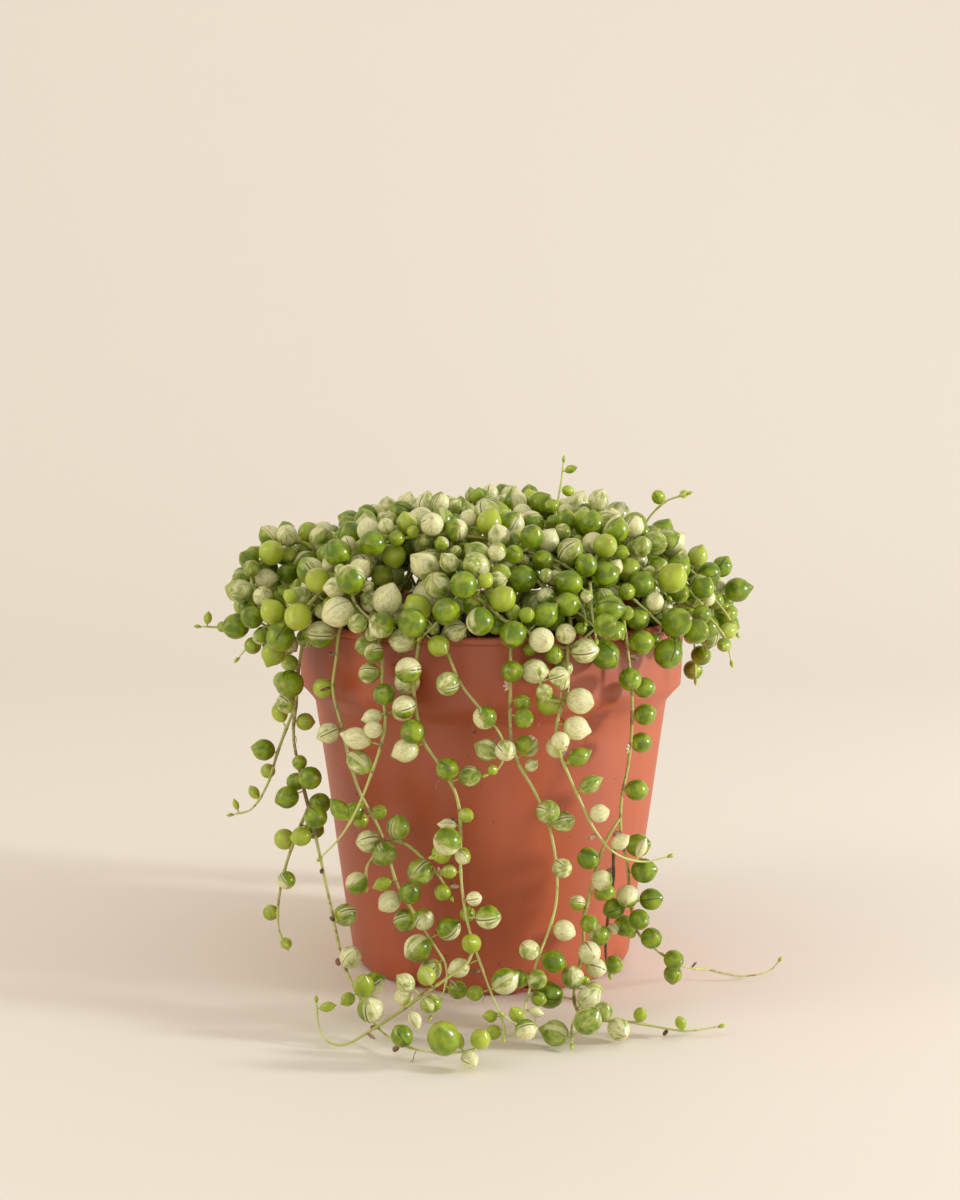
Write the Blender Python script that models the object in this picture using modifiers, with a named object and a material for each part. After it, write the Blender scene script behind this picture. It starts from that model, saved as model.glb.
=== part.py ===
"""Variegated string of pearls growing in a thin plastic nursery pot.

Lengths are written in millimetres and turned into metres when a mesh is made. The origin is the centre
of the flat underside of the pot, +Z is up, and the plant's fullest trailing side looks along -Y.
"""

import math
import random

import bmesh
import bpy
from mathutils import Matrix, Vector

mm = 0.001

# The pot: a thin blow-moulded tub with a rolled lip, a straight collar and a tapering body.
potHeight = 110.0
rimRadius = 60.0
lipHeight = 3.0
lipProud = 0.8
collarBottom = 87.5
collarTaper = 0.8
shoulderDrop = 3.5
shoulderRadius = 55.0
baseRadius = 43.6
baseCorner = 3.0
wallThickness = 1.3
notchCount = 8
notchWidth = 9.0
notchHeight = 3.0
notchTurn = 17.0

# The compost: a low heap that stops below the rim.
soilGap = 0.3
soilEdge = 103.0
soilCrown = 105.5
soilFloor = 1.0

# The plant.
gap = 0.35
stemRadius = 0.6
tipRadius = 0.3
petiole = 1.1
crownWidth = 79.0
crownShift = -3.0
crownDepth = 70.0
crownTop = 147.0
crownShoots = 30
crownSeed = 12
smallestTrailing = 6.6
smallestCrown = 7.5

leafSides = {"f": 0, "R": 40, "r": 82, "b": 180, "l": -82, "L": -40}

# Each trailing stem is a list of shoots: a route of hand-laid points, then its leaves in order from the
# crown to the tip. A leaf is a side, a diameter, a tone and sometimes a shape; a dot is a bare place
# and a plus puts two leaves at one place.
trailingStems = {
    "trailing_stem_left_outer": [
        ([(-40, -20, 106), (-47, -26, 116), (-54, -32, 112), (-57, -34, 98), (-58, -33, 87), (-59, -33, 77),
          (-57, -35, 66), (-54, -38, 55), (-51, -42, 44), (-47, -49, 29), (-43, -58, 16), (-38, -66, 8),
          (-33, -77, 4), (-27, -87, 2.5), (-19, -96, 3), (-10, -100, 4), (-3, -96, 4)],
         ". . R8m . f7.5m . L7.4y r6m . l5.3yt R8.6g . l6.7m b5.5y . . r4.6g l5.7g+r7.1g l6.9g b6.6g "
         "r7.1g+b6.4y L6y . . . . . b7m . . . r6.6m . l4.1g+r6.8h R6.4ye . . l7.6h . . . f6.2g . . f9.2ge "
         "l4.8ct+r3.4ys f5.6y"),
        ([(-59, -33, 86), (-62, -28, 77), (-65, -25, 69), (-68, -23, 60), (-73, -22, 52), (-79, -21, 50)],
         ". . l5.2yt . f6.8g . l4.7y . l3.4gs . l2gs"),
        ([(-54, -38, 56), (-59, -36, 45), (-62, -35, 36), (-64, -34, 26), (-64, -34, 18), (-62, -34, 13)],
         "l6.6y r6g . l6.5y . r5.6h . . l5y . r3.6gs"),
    ],
    "trailing_stem_cream_tip": [
        ([(-25, -40, 105), (-30, -50, 114), (-32, -55, 109), (-31, -58, 103), (-31, -60, 95), (-30, -63, 88),
          (-31, -65, 81), (-34, -65, 72), (-38, -63, 62), (-43, -60, 53), (-49, -57, 46)],
         ". . R7m L6.6m r6.4c l6.4m f5.7h l6.2m . R6.4g l4.8ct+r6.3h l5.2c l6.6ct . l7mt . . . l5.4gt . . ."),
    ],
    "trailing_stem_mottled": [
        ([(-14, -40, 105), (-18, -52, 115), (-20, -59, 112), (-21, -62, 106), (-22, -64, 97), (-21, -65, 88),
          (-19, -66, 81), (-14, -67, 74), (-10, -67, 66), (-9, -67, 57), (-9, -68, 46), (-8, -69, 36),
          (-6, -71, 27), (-3, -74, 19), (0, -78, 12), (3, -84, 6), (3, -92, 5)],
         ". . . R9.6c l7.4m . l7.4m+r6.8c . f7.6h L7.6m L6.8h . f7.2g L7.2h . R6.6g R6.2m . R4.3yt l3.8ct "
         "l8.2h b4.4y l4.2y . r4.4c r7h+b4.6g . f5.8yt l5.8m . r7.6h+l4.6g . l3.6g l4.2g+R5.8m r6h"),
        ([(-5, -72, 25), (-7, -76, 21), (-12, -79, 18), (-19, -82, 14), (-26, -83, 9), (-33, -85, 5),
          (-40, -87, 1.5), (-45, -86, 1.8), (-48, -82, 5), (-49, -77, 10)],
         ". . . . l5.4y l5.4m+r4.2m l5.4c+r4ct . . . . . . . . l3gs"),
        ([(-9, -68, 52), (-12.5, -70, 51), (-16, -71, 50)], "L4.6h R6y"),
    ],
    "trailing_stem_inner_left": [
        ([(-34, -34, 105), (-41, -41, 114), (-44, -45, 110), (-45, -46, 102), (-46, -47, 93), (-44, -49, 85),
          (-42, -51, 77), (-40, -51, 69), (-37.5, -51, 62), (-33, -52, 54), (-30, -54, 46), (-27, -56, 37),
          (-22, -60, 30), (-17, -64, 23), (-13, -68, 17), (-14, -72, 10), (-17, -77, 6)],
         ". . . L7.4m . L8.2h . . . l6.1y . . L6.3m . . . . . L5.4g l4.6g+r4.4g . L6.8m f7m . l4.4yt L6.6c "
         "f6.6g l7m R6.4h L8h+r7h . L6.6m . r5.4g . f5.6h"),
        ([(-30, -54, 51), (-25, -57, 50), (-19, -61, 46), (-15, -63, 42), (-12, -65, 37)],
         ". r7m . . l7.8m . f5g"),
        ([(-30, -54, 49), (-33, -56, 47), (-36, -57, 43), (-36, -58, 38)], "l5.6g f6.2m . f6.6h"),
    ],
    "trailing_stem_brown_tip": [
        ([(-5, -42, 105), (-10, -53, 114), (-14, -60, 111), (-12, -64, 105), (-9, -66, 98), (-3.5, -67, 91),
          (1.5, -68, 85), (3.5, -68, 79), (1.5, -68, 74), (-1.6, -68.5, 72.6)],
         ". . R7m . . r6.4m . . L6.9m . . f6.9h . f6.2m L6.6m l3g"),
    ],
    "trailing_stem_centre": [
        ([(8, -38, 105), (7, -53, 115), (6, -61, 113), (5, -65, 106), (5, -66, 95), (5, -67, 84),
          (7, -67, 76), (12, -67, 67), (16, -67, 57), (18, -67, 46), (18, -67, 36), (16, -68, 28),
          (13, -70, 21), (11, -73, 15), (9, -78, 9), (8, -84, 5), (3, -88, 10)],
         ". . R7.6m . r5.2g . L6.2g . . f6.2g+r7.4h . r4.6g R5.6g . f5g R6.6m r3.8m . . f7m r6.2m . . f5.8m "
         ". . . r6.2c . r6.7g+L6m . f5.8m+l5.6g r4.2g r3.2ct L4.2yt . f6.4h"),
    ],
    "trailing_stem_white": [
        ([(20, -38, 105), (22, -50, 114), (22, -58, 112), (21, -62, 105), (21, -65, 96), (18, -69, 88),
          (18, -70, 81), (21, -69, 73), (25, -68, 64), (29, -67, 56), (35, -65, 49), (43, -62, 46),
          (50, -60, 47)],
         ". . . R7.5m . . L6m R8.4m . . R7.6c l6.8y r7.2c f5.3c R6.4c r5.4gt . r5.2mt . R5.4c . . R4.6ct . "
         "r3.3cs . ."),
        ([(21, -66, 93), (17.5, -69, 93.5), (14, -70, 95), (13, -70, 101)], "l4.6m+r6.3c . f4.9m f5.5m"),
    ],
    "trailing_stem_green_right": [
        ([(34, -28, 105), (37, -42, 115), (38, -50, 111), (39, -52, 102), (40, -52, 92), (40, -52, 82),
          (39, -53, 72), (37, -55, 62), (37, -55, 52), (39, -54, 43), (40, -53, 32), (42, -53, 23),
          (48, -52, 17), (54, -48, 12), (60, -38, 7), (66, -30, 4), (75, -30, 2), (84, -28, 2.5),
          (88, -25, 5)],
         ". . f8g R7.4g . r7g . r7.4g . L6.9g r6.3g . r6.5g . r6.2g . . r6.5g . . . R7g . R7.4g L6.8h "
         "R6.6g+l6.2g f6.2g l2.8y f6.4g . f6g l5.6g . . . . . . . . . . ."),
        ([(37, -55, 57), (33, -58, 52), (30, -60, 45), (28, -61, 37), (26, -62, 29), (26, -62, 21),
          (24, -65, 13), (23, -72, 8), (26, -79, 6), (32, -78, 5), (38, -76, 4), (46, -76, 2.5),
          (54, -78, 2), (63, -77, 3)],
         ". . . l6.5g f6.2h R5g l4.6h f5.4g . f6.8c r5.8c r3.2g L6.8m+r4.6y l8g R6.8m . f5.6m l6.6m . f4gt "
         ". . f3.4gt . ."),
        ([(37, -55, 53), (35.3, -51, 46), (35.3, -50, 38), (34.3, -50, 30), (33.4, -51, 23), (33, -53, 16),
          (34, -55, 11)],
         ". . . . . l4.4g . f3.4ct+r6.6g L6.4h . f5.6g"),
        ([(24, -76, 7), (22, -82, 5), (21.5, -88, 2)], ". . l7.4m+r9m"),
    ],
}

# Stems that hang behind and beside the pot: azimuth from +X, and how far below the rim they reach.
backStems = [(8, 24), (46, 70), (64, 118), (81, 52), (98, 122), (114, 84), (131, 60), (172, 26)]

# Sprigs that stand out of the crown: a route, leaves, and the tone is in the leaves as above.
crownSprigs = {
    "sprig_upright": ([(14, -8, 106), (17, -9, 122), (19, -10, 138), (21, -10, 149), (22, -9, 157)],
                      ". . . R6.2g l6.2g r5.8h l4.9g r4.5g l3.6yt f2.7gs"),
    "sprig_top_right": ([(38, 2, 106), (44, 0, 122), (47, -2, 136), (53, -4, 144), (60, -6, 147)],
                        ". . R7.1g l6.7m r6.6g l5.8g r5.3g . l4.5gt r2.7gs"),
    "sprig_right_outer": ([(44, -6, 105), (54, -10, 117), (63, -14, 119), (70, -18, 113), (74, -20, 106)],
                          ". . L7.1g R7.1m f6.7g l6.2g r6.7g r5.8g . r4.5gt l3.6yt"),
    "sprig_right_low": ([(46, -20, 105), (55, -25, 115), (63, -29, 113), (69, -32, 106), (71, -32, 99)],
                        ". . f7.1g L7.5m r7.1g R6.7g l5.8g . r5.3yt l4.5gt ."),
    "sprig_left_outer": ([(-42, -2, 105), (-54, -6, 119), (-64, -8, 119), (-73, -10, 113), (-81, -12, 107),
                          (-89, -14, 107)],
                         ". . f7.1m R6.7h l7.1g R6.8g l6.7g r6.2y l5.7g . l3.6gt r2.7gs"),
    "sprig_left_top": ([(-36, 4, 106), (-48, 2, 122), (-58, 1, 132), (-68, -1, 131), (-75, -2, 126)],
                       ". . f7.1g R7.1m l7.1y R6.2g l6.2g . l4.9y r4.1gt"),
    "sprig_left_low": ([(-44, -16, 105), (-54, -20, 115), (-62, -23, 113), (-70, -25, 106), (-76, -25, 99)],
                       ". . f7.1g L7.6m r6.7g R6.7g l7.1g . l5.8g r5.3g ."),
    "sprig_front_green": ([(26, -22, 106), (28, -36, 120), (28, -48, 124), (28, -57, 118), (29, -62, 110)],
                          ". . L8.5g R8m l8g R8g l7.6g r8g f7.1g"),
}


def smoothRoute(points, step=1.0):
    """Even-spaced points along the curve through the route's own points."""
    knots = [Vector(p) for p in points]
    ends = [2 * knots[0] - knots[1]] + knots + [2 * knots[-1] - knots[-2]]
    fine = []
    for k in range(len(knots) - 1):
        a, b, c, d = ends[k:k + 4]
        for i in range(24):
            t = i / 24
            fine.append(0.5 * (2 * b + (c - a) * t + (2 * a - 5 * b + 4 * c - d) * t * t
                               + (3 * b - a - 3 * c + d) * t * t * t))
    fine.append(knots[-1])
    length = sum((q - p).length for p, q in zip(fine, fine[1:]))
    count = max(2, round(length / step))
    return resample(fine, length, count)


def resample(line, length, count):
    """The line cut into count equal lengths."""
    even = [line[0].copy()]
    walked = 0.0
    for p, q in zip(line, line[1:]):
        stretch = (q - p).length
        while len(even) < count and walked + stretch >= length * len(even) / count:
            even.append(p.lerp(q, (length * len(even) / count - walked) / stretch))
        walked += stretch
    even.append(line[-1].copy())
    return [Vector([round(v, 3) for v in p]) for p in even]


def wallRadius(z):
    """Outer radius of the pot at a height."""
    if z > collarBottom:
        return rimRadius - collarTaper * (potHeight - z) / (potHeight - collarBottom)
    if z > collarBottom - shoulderDrop:
        return shoulderRadius + (z - collarBottom + shoulderDrop)
    return baseRadius + (shoulderRadius - baseRadius) * max(z, 0) / (collarBottom - shoulderDrop)


def soilHeight(radius):
    return soilEdge + (soilCrown - soilEdge) * (1 - (radius / rimRadius) ** 2)


def crownReach(x, y):
    """How far out over the plan of the crown a point is, from 0 in the middle to 1 at the edge."""
    return math.hypot((x - crownShift) / crownWidth, y / crownDepth)


def crownHeight(x, y):
    """Height of the outermost pearls over a point of the plan."""
    reach = crownReach(x, y)
    swell = 2.2 * math.sin(x / 12 + 0.6) * math.cos(y / 13 - 0.4)
    return crownTop + swell - (crownTop - 104) * reach ** 4.5


def clearOfPot(point, radius):
    """A ball at the point clears the pot, the compost and the surface that the pot stands on."""
    across = math.hypot(point.x, point.y)
    if point.z < radius + gap:
        return False
    if point.z > potHeight + radius + gap:
        return True
    inner = rimRadius - 2.4
    if point.z > potHeight:
        rimAway = math.hypot(max(0, inner - across, across - rimRadius), point.z - potHeight)
        return rimAway > radius + gap
    if across < inner:
        return across < inner - radius - gap and point.z > soilHeight(across) + radius + gap
    return across > wallRadius(point.z + radius) + radius + gap


def outward(point):
    """The direction away from the plant's bulk: sideways beside the pot, up on the crown and floor."""
    side = Vector((point.x, point.y, 0)).normalized()
    lift = min(1, max(0, (point.z - 104) / 22)) * 1.4 + min(1, max(0, (14 - point.z) / 10)) * 1.6
    return (side + Vector((0, 0, lift))).normalized()


class Space:
    """Balls that are already taken up, in a grid of cells."""

    cell = 10.0

    def __init__(self):
        self.cells = {}

    def key(self, point):
        return tuple(int(math.floor(v / self.cell)) for v in point)

    def add(self, point, radius, owner, kind):
        self.cells.setdefault(self.key(point), []).append((point.copy(), radius, owner, kind))

    def near(self, point):
        i, j, k = self.key(point)
        for a in (i - 1, i, i + 1):
            for b in (j - 1, j, j + 1):
                for c in (k - 1, k, k + 1):
                    yield from self.cells.get((a, b, c), ())

    def free(self, point, radius, owner, ownStems=True):
        for other, size, name, kind in self.near(point):
            own = name == owner and kind == "stem"
            if own and not ownStems:
                continue
            room = radius + size + (0 if own else gap)
            if (other - point).length_squared < room * room:
                return False
        return True


def growShoot(space, name, start, heading, length, depth, rng):
    """A crown shoot that feels its way outwards under the surface of the crown."""
    line = [start]
    stride = 4.0
    rise = 0.9
    while len(line) * stride < length:
        here = line[-1]
        heading += rng.uniform(-0.22, 0.22)
        ahead = here + stride * Vector((math.cos(heading), math.sin(heading), 0))
        goal = max(108, crownHeight(ahead.x, ahead.y) - depth)
        climb = max(-0.9, min(1.6, (goal - here.z) / stride))
        rise += max(-0.7, min(0.5, climb - rise))
        for turn, lift in ((0, 0), (0.3, 0.1), (-0.3, 0.1), (0.6, 0), (-0.6, 0),
                           (0, 0.5), (0, -0.5), (1, 0.2), (-1, 0.2), (0, 1)):
            way = Vector((math.cos(heading + turn), math.sin(heading + turn), rise + lift)).normalized()
            spot = here + stride * way
            middle = here + 0.5 * stride * way
            inside = crownReach(spot.x, spot.y) < 0.92
            clear = all(clearOfPot(p, stemRadius + 0.6) and space.free(p, stemRadius + 0.6, name)
                        for p in (spot, middle) if p is spot or len(line) > 1)
            if inside and clear:
                heading += turn
                rise += lift
                line.append(Vector([round(v, 2) for v in spot]))
                break
        else:
            break
    return line


def backRoute(azimuth, drop):
    """A stem that leaves the crown behind the pot, hangs, and lies down where it reaches the surface."""
    angle = math.radians(azimuth)
    out = Vector((math.cos(angle), math.sin(angle), 0))
    side = Vector((-out.y, out.x, 0))
    points = [out * 42 + Vector((0, 0, 105)), out * 55 + Vector((0, 0, 116)), out * 63 + Vector((0, 0, 111))]
    hang = min(drop, potHeight - 16)
    for k in range(1, 2 + int(hang / 14)):
        fall = hang * k / (1 + int(hang / 14))
        sway = 3.5 * math.sin(azimuth + fall / 17)
        points.append(out * 66 + side * sway + Vector((0, 0, 111 - fall)))
    if drop > hang:
        points.append(out * 69 + side * 2 + Vector((0, 0, 7)))
        points.append(out * 78 + side * 8 + Vector((0, 0, 4)))
        points.append(out * 86 + side * 20 + Vector((0, 0, 4)))
    return [tuple(p) for p in points]


def backLeaves(count, rng):
    """Leaves for a stem behind the pot: pearls in ones and twos, then smaller ones towards the tip."""
    words = [".", "."]
    for k in range(count - 2):
        if rng.random() < 0.22:
            words.append(".")
            continue
        size = rng.uniform(6.4, 8.8) * (1 if k < count - 6 else 0.8)
        words.append(f"{rng.choice('lLfRr')}{size:.1f}{rng.choice('gggmmmhyc')}")
    return words


def layStems(space):
    """Every shoot of the plant as an even line, each with the words for its leaves, or None."""
    rng = random.Random(crownSeed)
    shoots = []
    for name, parts in trailingStems.items():
        grown = []
        for points, leaves in parts:
            start = Vector(points[0])
            root = min(grown or [start], key=lambda p: (p - start).length)
            line = smoothRoute([root] + points[1:])
            grown += line
            shoots.append([name, line, leaves.split()])
    for k, (azimuth, drop) in enumerate(backStems):
        line = smoothRoute(backRoute(azimuth, drop))
        shoots.append([f"trailing_stem_back_{k + 1:02d}", line, backLeaves(len(line) // 5, rng)])
    for name, (points, leaves) in crownSprigs.items():
        shoots.append([name, smoothRoute(points), leaves.split()])
    for name, line, leaves in shoots:
        for point in line:
            space.add(point, stemRadius, name, "stem")
    for k in range(crownShoots):
        name = f"crown_shoot_{k + 1:02d}"
        turn = k * math.pi * (3 - math.sqrt(5))
        across = 44 * math.sqrt((k + 0.5) / crownShoots)
        line = []
        while len(line) < 9:
            start = Vector((across * math.cos(turn), across * math.sin(turn), soilHeight(across) + 1))
            if space.free(start, 3 * stemRadius, name):
                heading = turn + rng.uniform(-1, 1) + (2.6 if k % 5 in (2, 4) else 0)
                length, sag = rng.uniform(56, 92), rng.choice((8, 10, 13))
                line = growShoot(space, name, start, heading, length, sag, rng)
            turn += 0.11
        main = smoothRoute(line)
        shoots.append([name, main, None])
        for point in main:
            space.add(point, stemRadius, name, "stem")
        fork = main[len(main) * 2 // 5]
        tip = main[min(len(main) - 1, len(main) * 2 // 5 + 4)]
        heading = math.atan2(tip.y - fork.y, tip.x - fork.x) + rng.choice((-1.1, 1.1))
        line = growShoot(space, name, fork, heading, rng.uniform(28, 46), rng.choice((7, 9, 11)), rng)
        if len(line) > 3:
            side = smoothRoute(line)
            shoots.append([name, side, None])
            for point in side:
                space.add(point, stemRadius, name, "stem")
    return shoots


def leafFrame(line, index):
    """Where a leaf springs from, and the outward and rightward directions there."""
    at = line[index]
    along = (line[min(index + 2, len(line) - 1)] - line[max(index - 2, 0)]).normalized()
    normal = outward(at)
    normal = (normal - along * normal.dot(along)).normalized()
    return at, normal, normal.cross(along), along


def placeLeaf(space, name, line, index, angle, size, stretch, rng):
    """The leaf's centre and direction where it fits nearest to the way asked for, or None."""
    at, normal, right, along = leafFrame(line, index)
    lean = rng.uniform(-0.25, 0.25)
    for shrink in (1, 0.88, 0.76):
        radius = size / 2 * shrink
        for turn in (0, 16, -16, 34, -34, 58, -58, 88, -88, 125, -125):
            way = math.radians(angle + turn)
            aim = (normal * math.cos(way) + right * math.sin(way) + along * lean).normalized()
            for neck in (petiole, petiole + 0.9, petiole + 2):
                centre = at + aim * (neck + radius * stretch)
                centre = Vector([round(v, 3) for v in centre])
                throat = centre - aim * radius * stretch * 0.95
                if (clearOfPot(centre, radius) and space.free(centre, radius, name)
                        and space.free(throat, radius * 0.45, name, False)):
                    space.add(centre, radius, name, "leaf")
                    space.add(throat, radius * 0.45, name, "neck")
                    return centre, aim, radius
    return None


def readLeaf(word):
    """Side angle, diameter, tone and shape of a leaf word such as r8.5gt."""
    text = word[1:]
    digits = text.rstrip("abcdefghijklmnopqrstuvwxyz")
    marks = text[len(digits):]
    return leafSides[word[0]], float(digits), marks[0], marks[1:]


def crownTone(at, rng):
    """Tone of a crown leaf: mostly green on the right, mottled in the middle, fresh green at far left."""
    if at.x > 10:
        return rng.choices("gmhcy", (62, 20, 7, 3, 8))[0]
    if at.x > -52:
        return rng.choices("gmhcy", (24, 46, 13, 7, 10))[0]
    return rng.choices("gmhcy", (30, 22, 8, 4, 36))[0]


def growLeaves(space, shoots):
    """All leaves: (name, attachment, centre, direction, radius, stretch, tone)."""
    rng = random.Random(crownSeed + 1)
    stretches = {"": 1.0, "t": 1.3, "s": 1.7, "e": 1.25}
    leaves = []
    for name, line, words in shoots:
        for k, word in enumerate(words or ()):
            index = round((k + 0.5) / len(words) * (len(line) - 1))
            for leaf in word.split("+"):
                if leaf == ".":
                    continue
                angle, size, tone, shape = readLeaf(leaf)
                angle += rng.uniform(-8, 8)
                found = placeLeaf(space, name, line, index, angle, size, stretches[shape], rng)
                if found:
                    leaves.append((name, line[index], *found, stretches[shape], tone))
    for sizes in ((6.2, 8.3), (5.2, 6.6), (4.2, 5.2)):
        places = [(name, line, k) for name, line, words in shoots if words is None
                  for k in range(5, len(line), 3)]
        rng.shuffle(places)
        for name, line, k in places:
            at = line[k]
            angle = rng.uniform(-95, 95)
            size = rng.uniform(*sizes) + (0.9 if at.y < -34 and at.z < 128 and sizes[0] > 6 else 0)
            tone = crownTone(at, rng)
            if at.z < crownHeight(at.x, at.y) - 22:
                continue
            found = placeLeaf(space, name, line, k, angle, size, 1, rng)
            if found:
                leaves.append((name, at, *found, 1, tone))
    return leaves


def makeMaterial(name, colour, roughness):
    material = bpy.data.materials.new(name)
    material.use_nodes = True
    shader = material.node_tree.nodes["Principled BSDF"]
    shader.inputs["Base Color"].default_value = (*colour, 1)
    shader.inputs["Roughness"].default_value = roughness
    shader.inputs["Metallic"].default_value = 0
    return material


def addObject(name, mesh, collection, material=None):
    piece = bpy.data.objects.new(name, mesh)
    collection.objects.link(piece)
    if material:
        mesh.materials.append(material)
    return piece


def profileObject(name, profile, steps, collection, material):
    """A turned solid: the profile, in millimetres, runs down its outer side and is spun about Z."""
    mesh = bpy.data.meshes.new(name)
    points = [(r * mm, 0, z * mm) for r, z in profile]
    mesh.from_pydata(points, [(k, k + 1) for k in range(len(points) - 1)], [])
    piece = addObject(name, mesh, collection, material)
    screw = piece.modifiers.new("turn", "SCREW")
    screw.steps = steps
    screw.render_steps = steps
    screw.use_merge_vertices = True
    screw.merge_threshold = 0.00005
    screw.use_smooth_shade = True
    return piece


def hideCutter(piece):
    piece.hide_render = True
    piece.display_type = "WIRE"


def makePot(parts, cutters, material):
    """The tub: rolled lip, collar, tapering body and flat base, with drain notches round its foot."""
    t = wallThickness
    shoulder = collarBottom - shoulderDrop
    lip = rimRadius + lipProud
    corner = [(baseRadius - baseCorner * (1 - math.sin(a)), baseCorner * (1 - math.cos(a)))
              for a in (math.pi / 2, math.pi / 4, 0)]
    profile = [
        (0, t), (baseRadius - baseCorner, t), (baseRadius - t, baseCorner),
        (shoulderRadius - t, shoulder), (shoulderRadius + shoulderDrop - t, collarBottom),
        (rimRadius - t, potHeight), (lip, potHeight), (lip, potHeight - lipHeight),
        (wallRadius(potHeight - lipHeight), potHeight - lipHeight - 0.3),
        (shoulderRadius + shoulderDrop, collarBottom), (shoulderRadius, shoulder), *corner, (0, 0)]
    pot = profileObject("nursery_pot", profile, 48, parts, material)
    notches = bmesh.new()
    for k in range(notchCount):
        turn = math.radians(notchTurn) + 2 * math.pi * k / notchCount
        block = bmesh.ops.create_cube(notches, size=1)["verts"]
        bmesh.ops.scale(notches, verts=block, vec=Vector((9, notchWidth, 2 * notchHeight)) * mm)
        bmesh.ops.translate(notches, verts=block, vec=Vector((baseRadius + 1.5, 0, 0)) * mm)
        bmesh.ops.rotate(notches, verts=block, cent=(0, 0, 0), matrix=Matrix.Rotation(turn, 3, "Z"))
    mesh = bpy.data.meshes.new("notch_blocks")
    notches.to_mesh(mesh)
    notches.free()
    blocks = addObject("notch_blocks", mesh, cutters)
    hideCutter(blocks)
    cut = pot.modifiers.new("drain notches", "BOOLEAN")
    cut.operation = "DIFFERENCE"
    cut.object = blocks
    return pot


def makeSoil(parts, material):
    """The root ball and compost: it fills the pot, a hair clear of the plastic, and crowns slightly."""
    t = wallThickness + soilGap
    shoulder = collarBottom - shoulderDrop
    edge = wallRadius(soilEdge) - t - 0.3
    dome = [(edge * k / 4, soilHeight(edge * k / 4)) for k in range(5)]
    profile = dome + [
        (shoulderRadius + shoulderDrop - t - 0.3, collarBottom + 0.3), (shoulderRadius - t - 0.3, shoulder),
        (baseRadius - t - 0.6, baseCorner + 0.6), (baseRadius - baseCorner - 0.6, t + 0.2), (0, t + 0.2)]
    return profileObject("compost", profile, 32, parts, material)


def tube(name, line, stride, collection):
    """A stem as a closed mesh tube, thinner towards its tip, and the points that its middle runs through."""
    count = max(3, round(len(line) / stride))
    middle = [line[round(k * (len(line) - 1) / count)] for k in range(count + 1)]
    curve = bpy.data.curves.new(name, "CURVE")
    curve.dimensions = "3D"
    curve.bevel_depth = stemRadius * mm
    curve.bevel_resolution = 0
    curve.use_fill_caps = True
    spline = curve.splines.new("POLY")
    spline.points.add(count)
    for k, (point, spot) in enumerate(zip(spline.points, middle)):
        point.co = (*(spot * mm), 1)
        point.radius = 1 - (1 - tipRadius / stemRadius) * (k / count) ** 3
    guide = addObject(name, curve, collection)
    bpy.context.view_layer.update()
    mesh = bpy.data.meshes.new_from_object(guide.evaluated_get(bpy.context.evaluated_depsgraph_get()))
    bpy.data.objects.remove(guide)
    shape = bmesh.new()
    shape.from_mesh(mesh)
    bmesh.ops.remove_doubles(shape, verts=shape.verts, dist=0.000001)
    bmesh.ops.triangulate(shape, faces=shape.faces)
    bmesh.ops.recalc_face_normals(shape, faces=shape.faces)
    shape.to_mesh(mesh)
    shape.free()
    return mesh, middle


def nearestOn(middles, point):
    """The point nearest to this one on the broken lines."""
    best = None
    for middle in middles:
        for p, q in zip(middle, middle[1:]):
            share = (point - p).dot(q - p) / (q - p).length_squared
            spot = p.lerp(q, min(0.95, max(0.05, share)))
            if best is None or (spot - point).length < (best - point).length:
                best = spot
    return best


def addPearl(shape, middles, leaf):
    """A faceted pearl whose innermost corner is drawn out to the middle of its stem, as its stalk."""
    name, at, centre, aim, radius, stretch, tone = leaf
    turned = aim.to_track_quat("Z", "Y").to_matrix().to_4x4()
    place = Matrix.Translation(centre * mm) @ turned @ Matrix.Diagonal(
        (radius * mm, radius * mm, radius * stretch * mm, 1))
    corners = bmesh.ops.create_icosphere(shape, subdivisions=1, radius=1, matrix=place)["verts"]
    foot = nearestOn(middles, at) * mm
    inner = min(corners, key=lambda v: (v.co - foot).length)
    inner.co = foot


def makeStrand(name, shoots, leaves, parts, cutters, material):
    """One whole stem with its side shoots and pearls, joined into one closed body."""
    lines = [line for owner, line, words in shoots if owner == name]
    stride = 7 if name.startswith("crown") else 6
    mesh, middle = tube(name, lines[0], stride, parts)
    strand = addObject(name, mesh, parts, material)
    middles = [middle]
    adders = []
    for k, line in enumerate(lines[1:]):
        mesh, middle = tube(f"{name}_side_{k + 1}", line, stride, cutters)
        adders.append(addObject(mesh.name, mesh, cutters))
        middles.append(middle)
    pearls = bmesh.new()
    smallest = smallestCrown if name.startswith("crown") else smallestTrailing
    for leaf in leaves:
        if leaf[0] == name and 2 * leaf[4] >= smallest:
            addPearl(pearls, middles, leaf)
    mesh = bpy.data.meshes.new(f"{name}_pearls")
    pearls.to_mesh(mesh)
    pearls.free()
    adders.append(addObject(mesh.name, mesh, cutters))
    for adder in adders:
        hideCutter(adder)
        join = strand.modifiers.new(adder.name, "BOOLEAN")
        join.operation = "UNION"
        join.object = adder
    return strand


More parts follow.
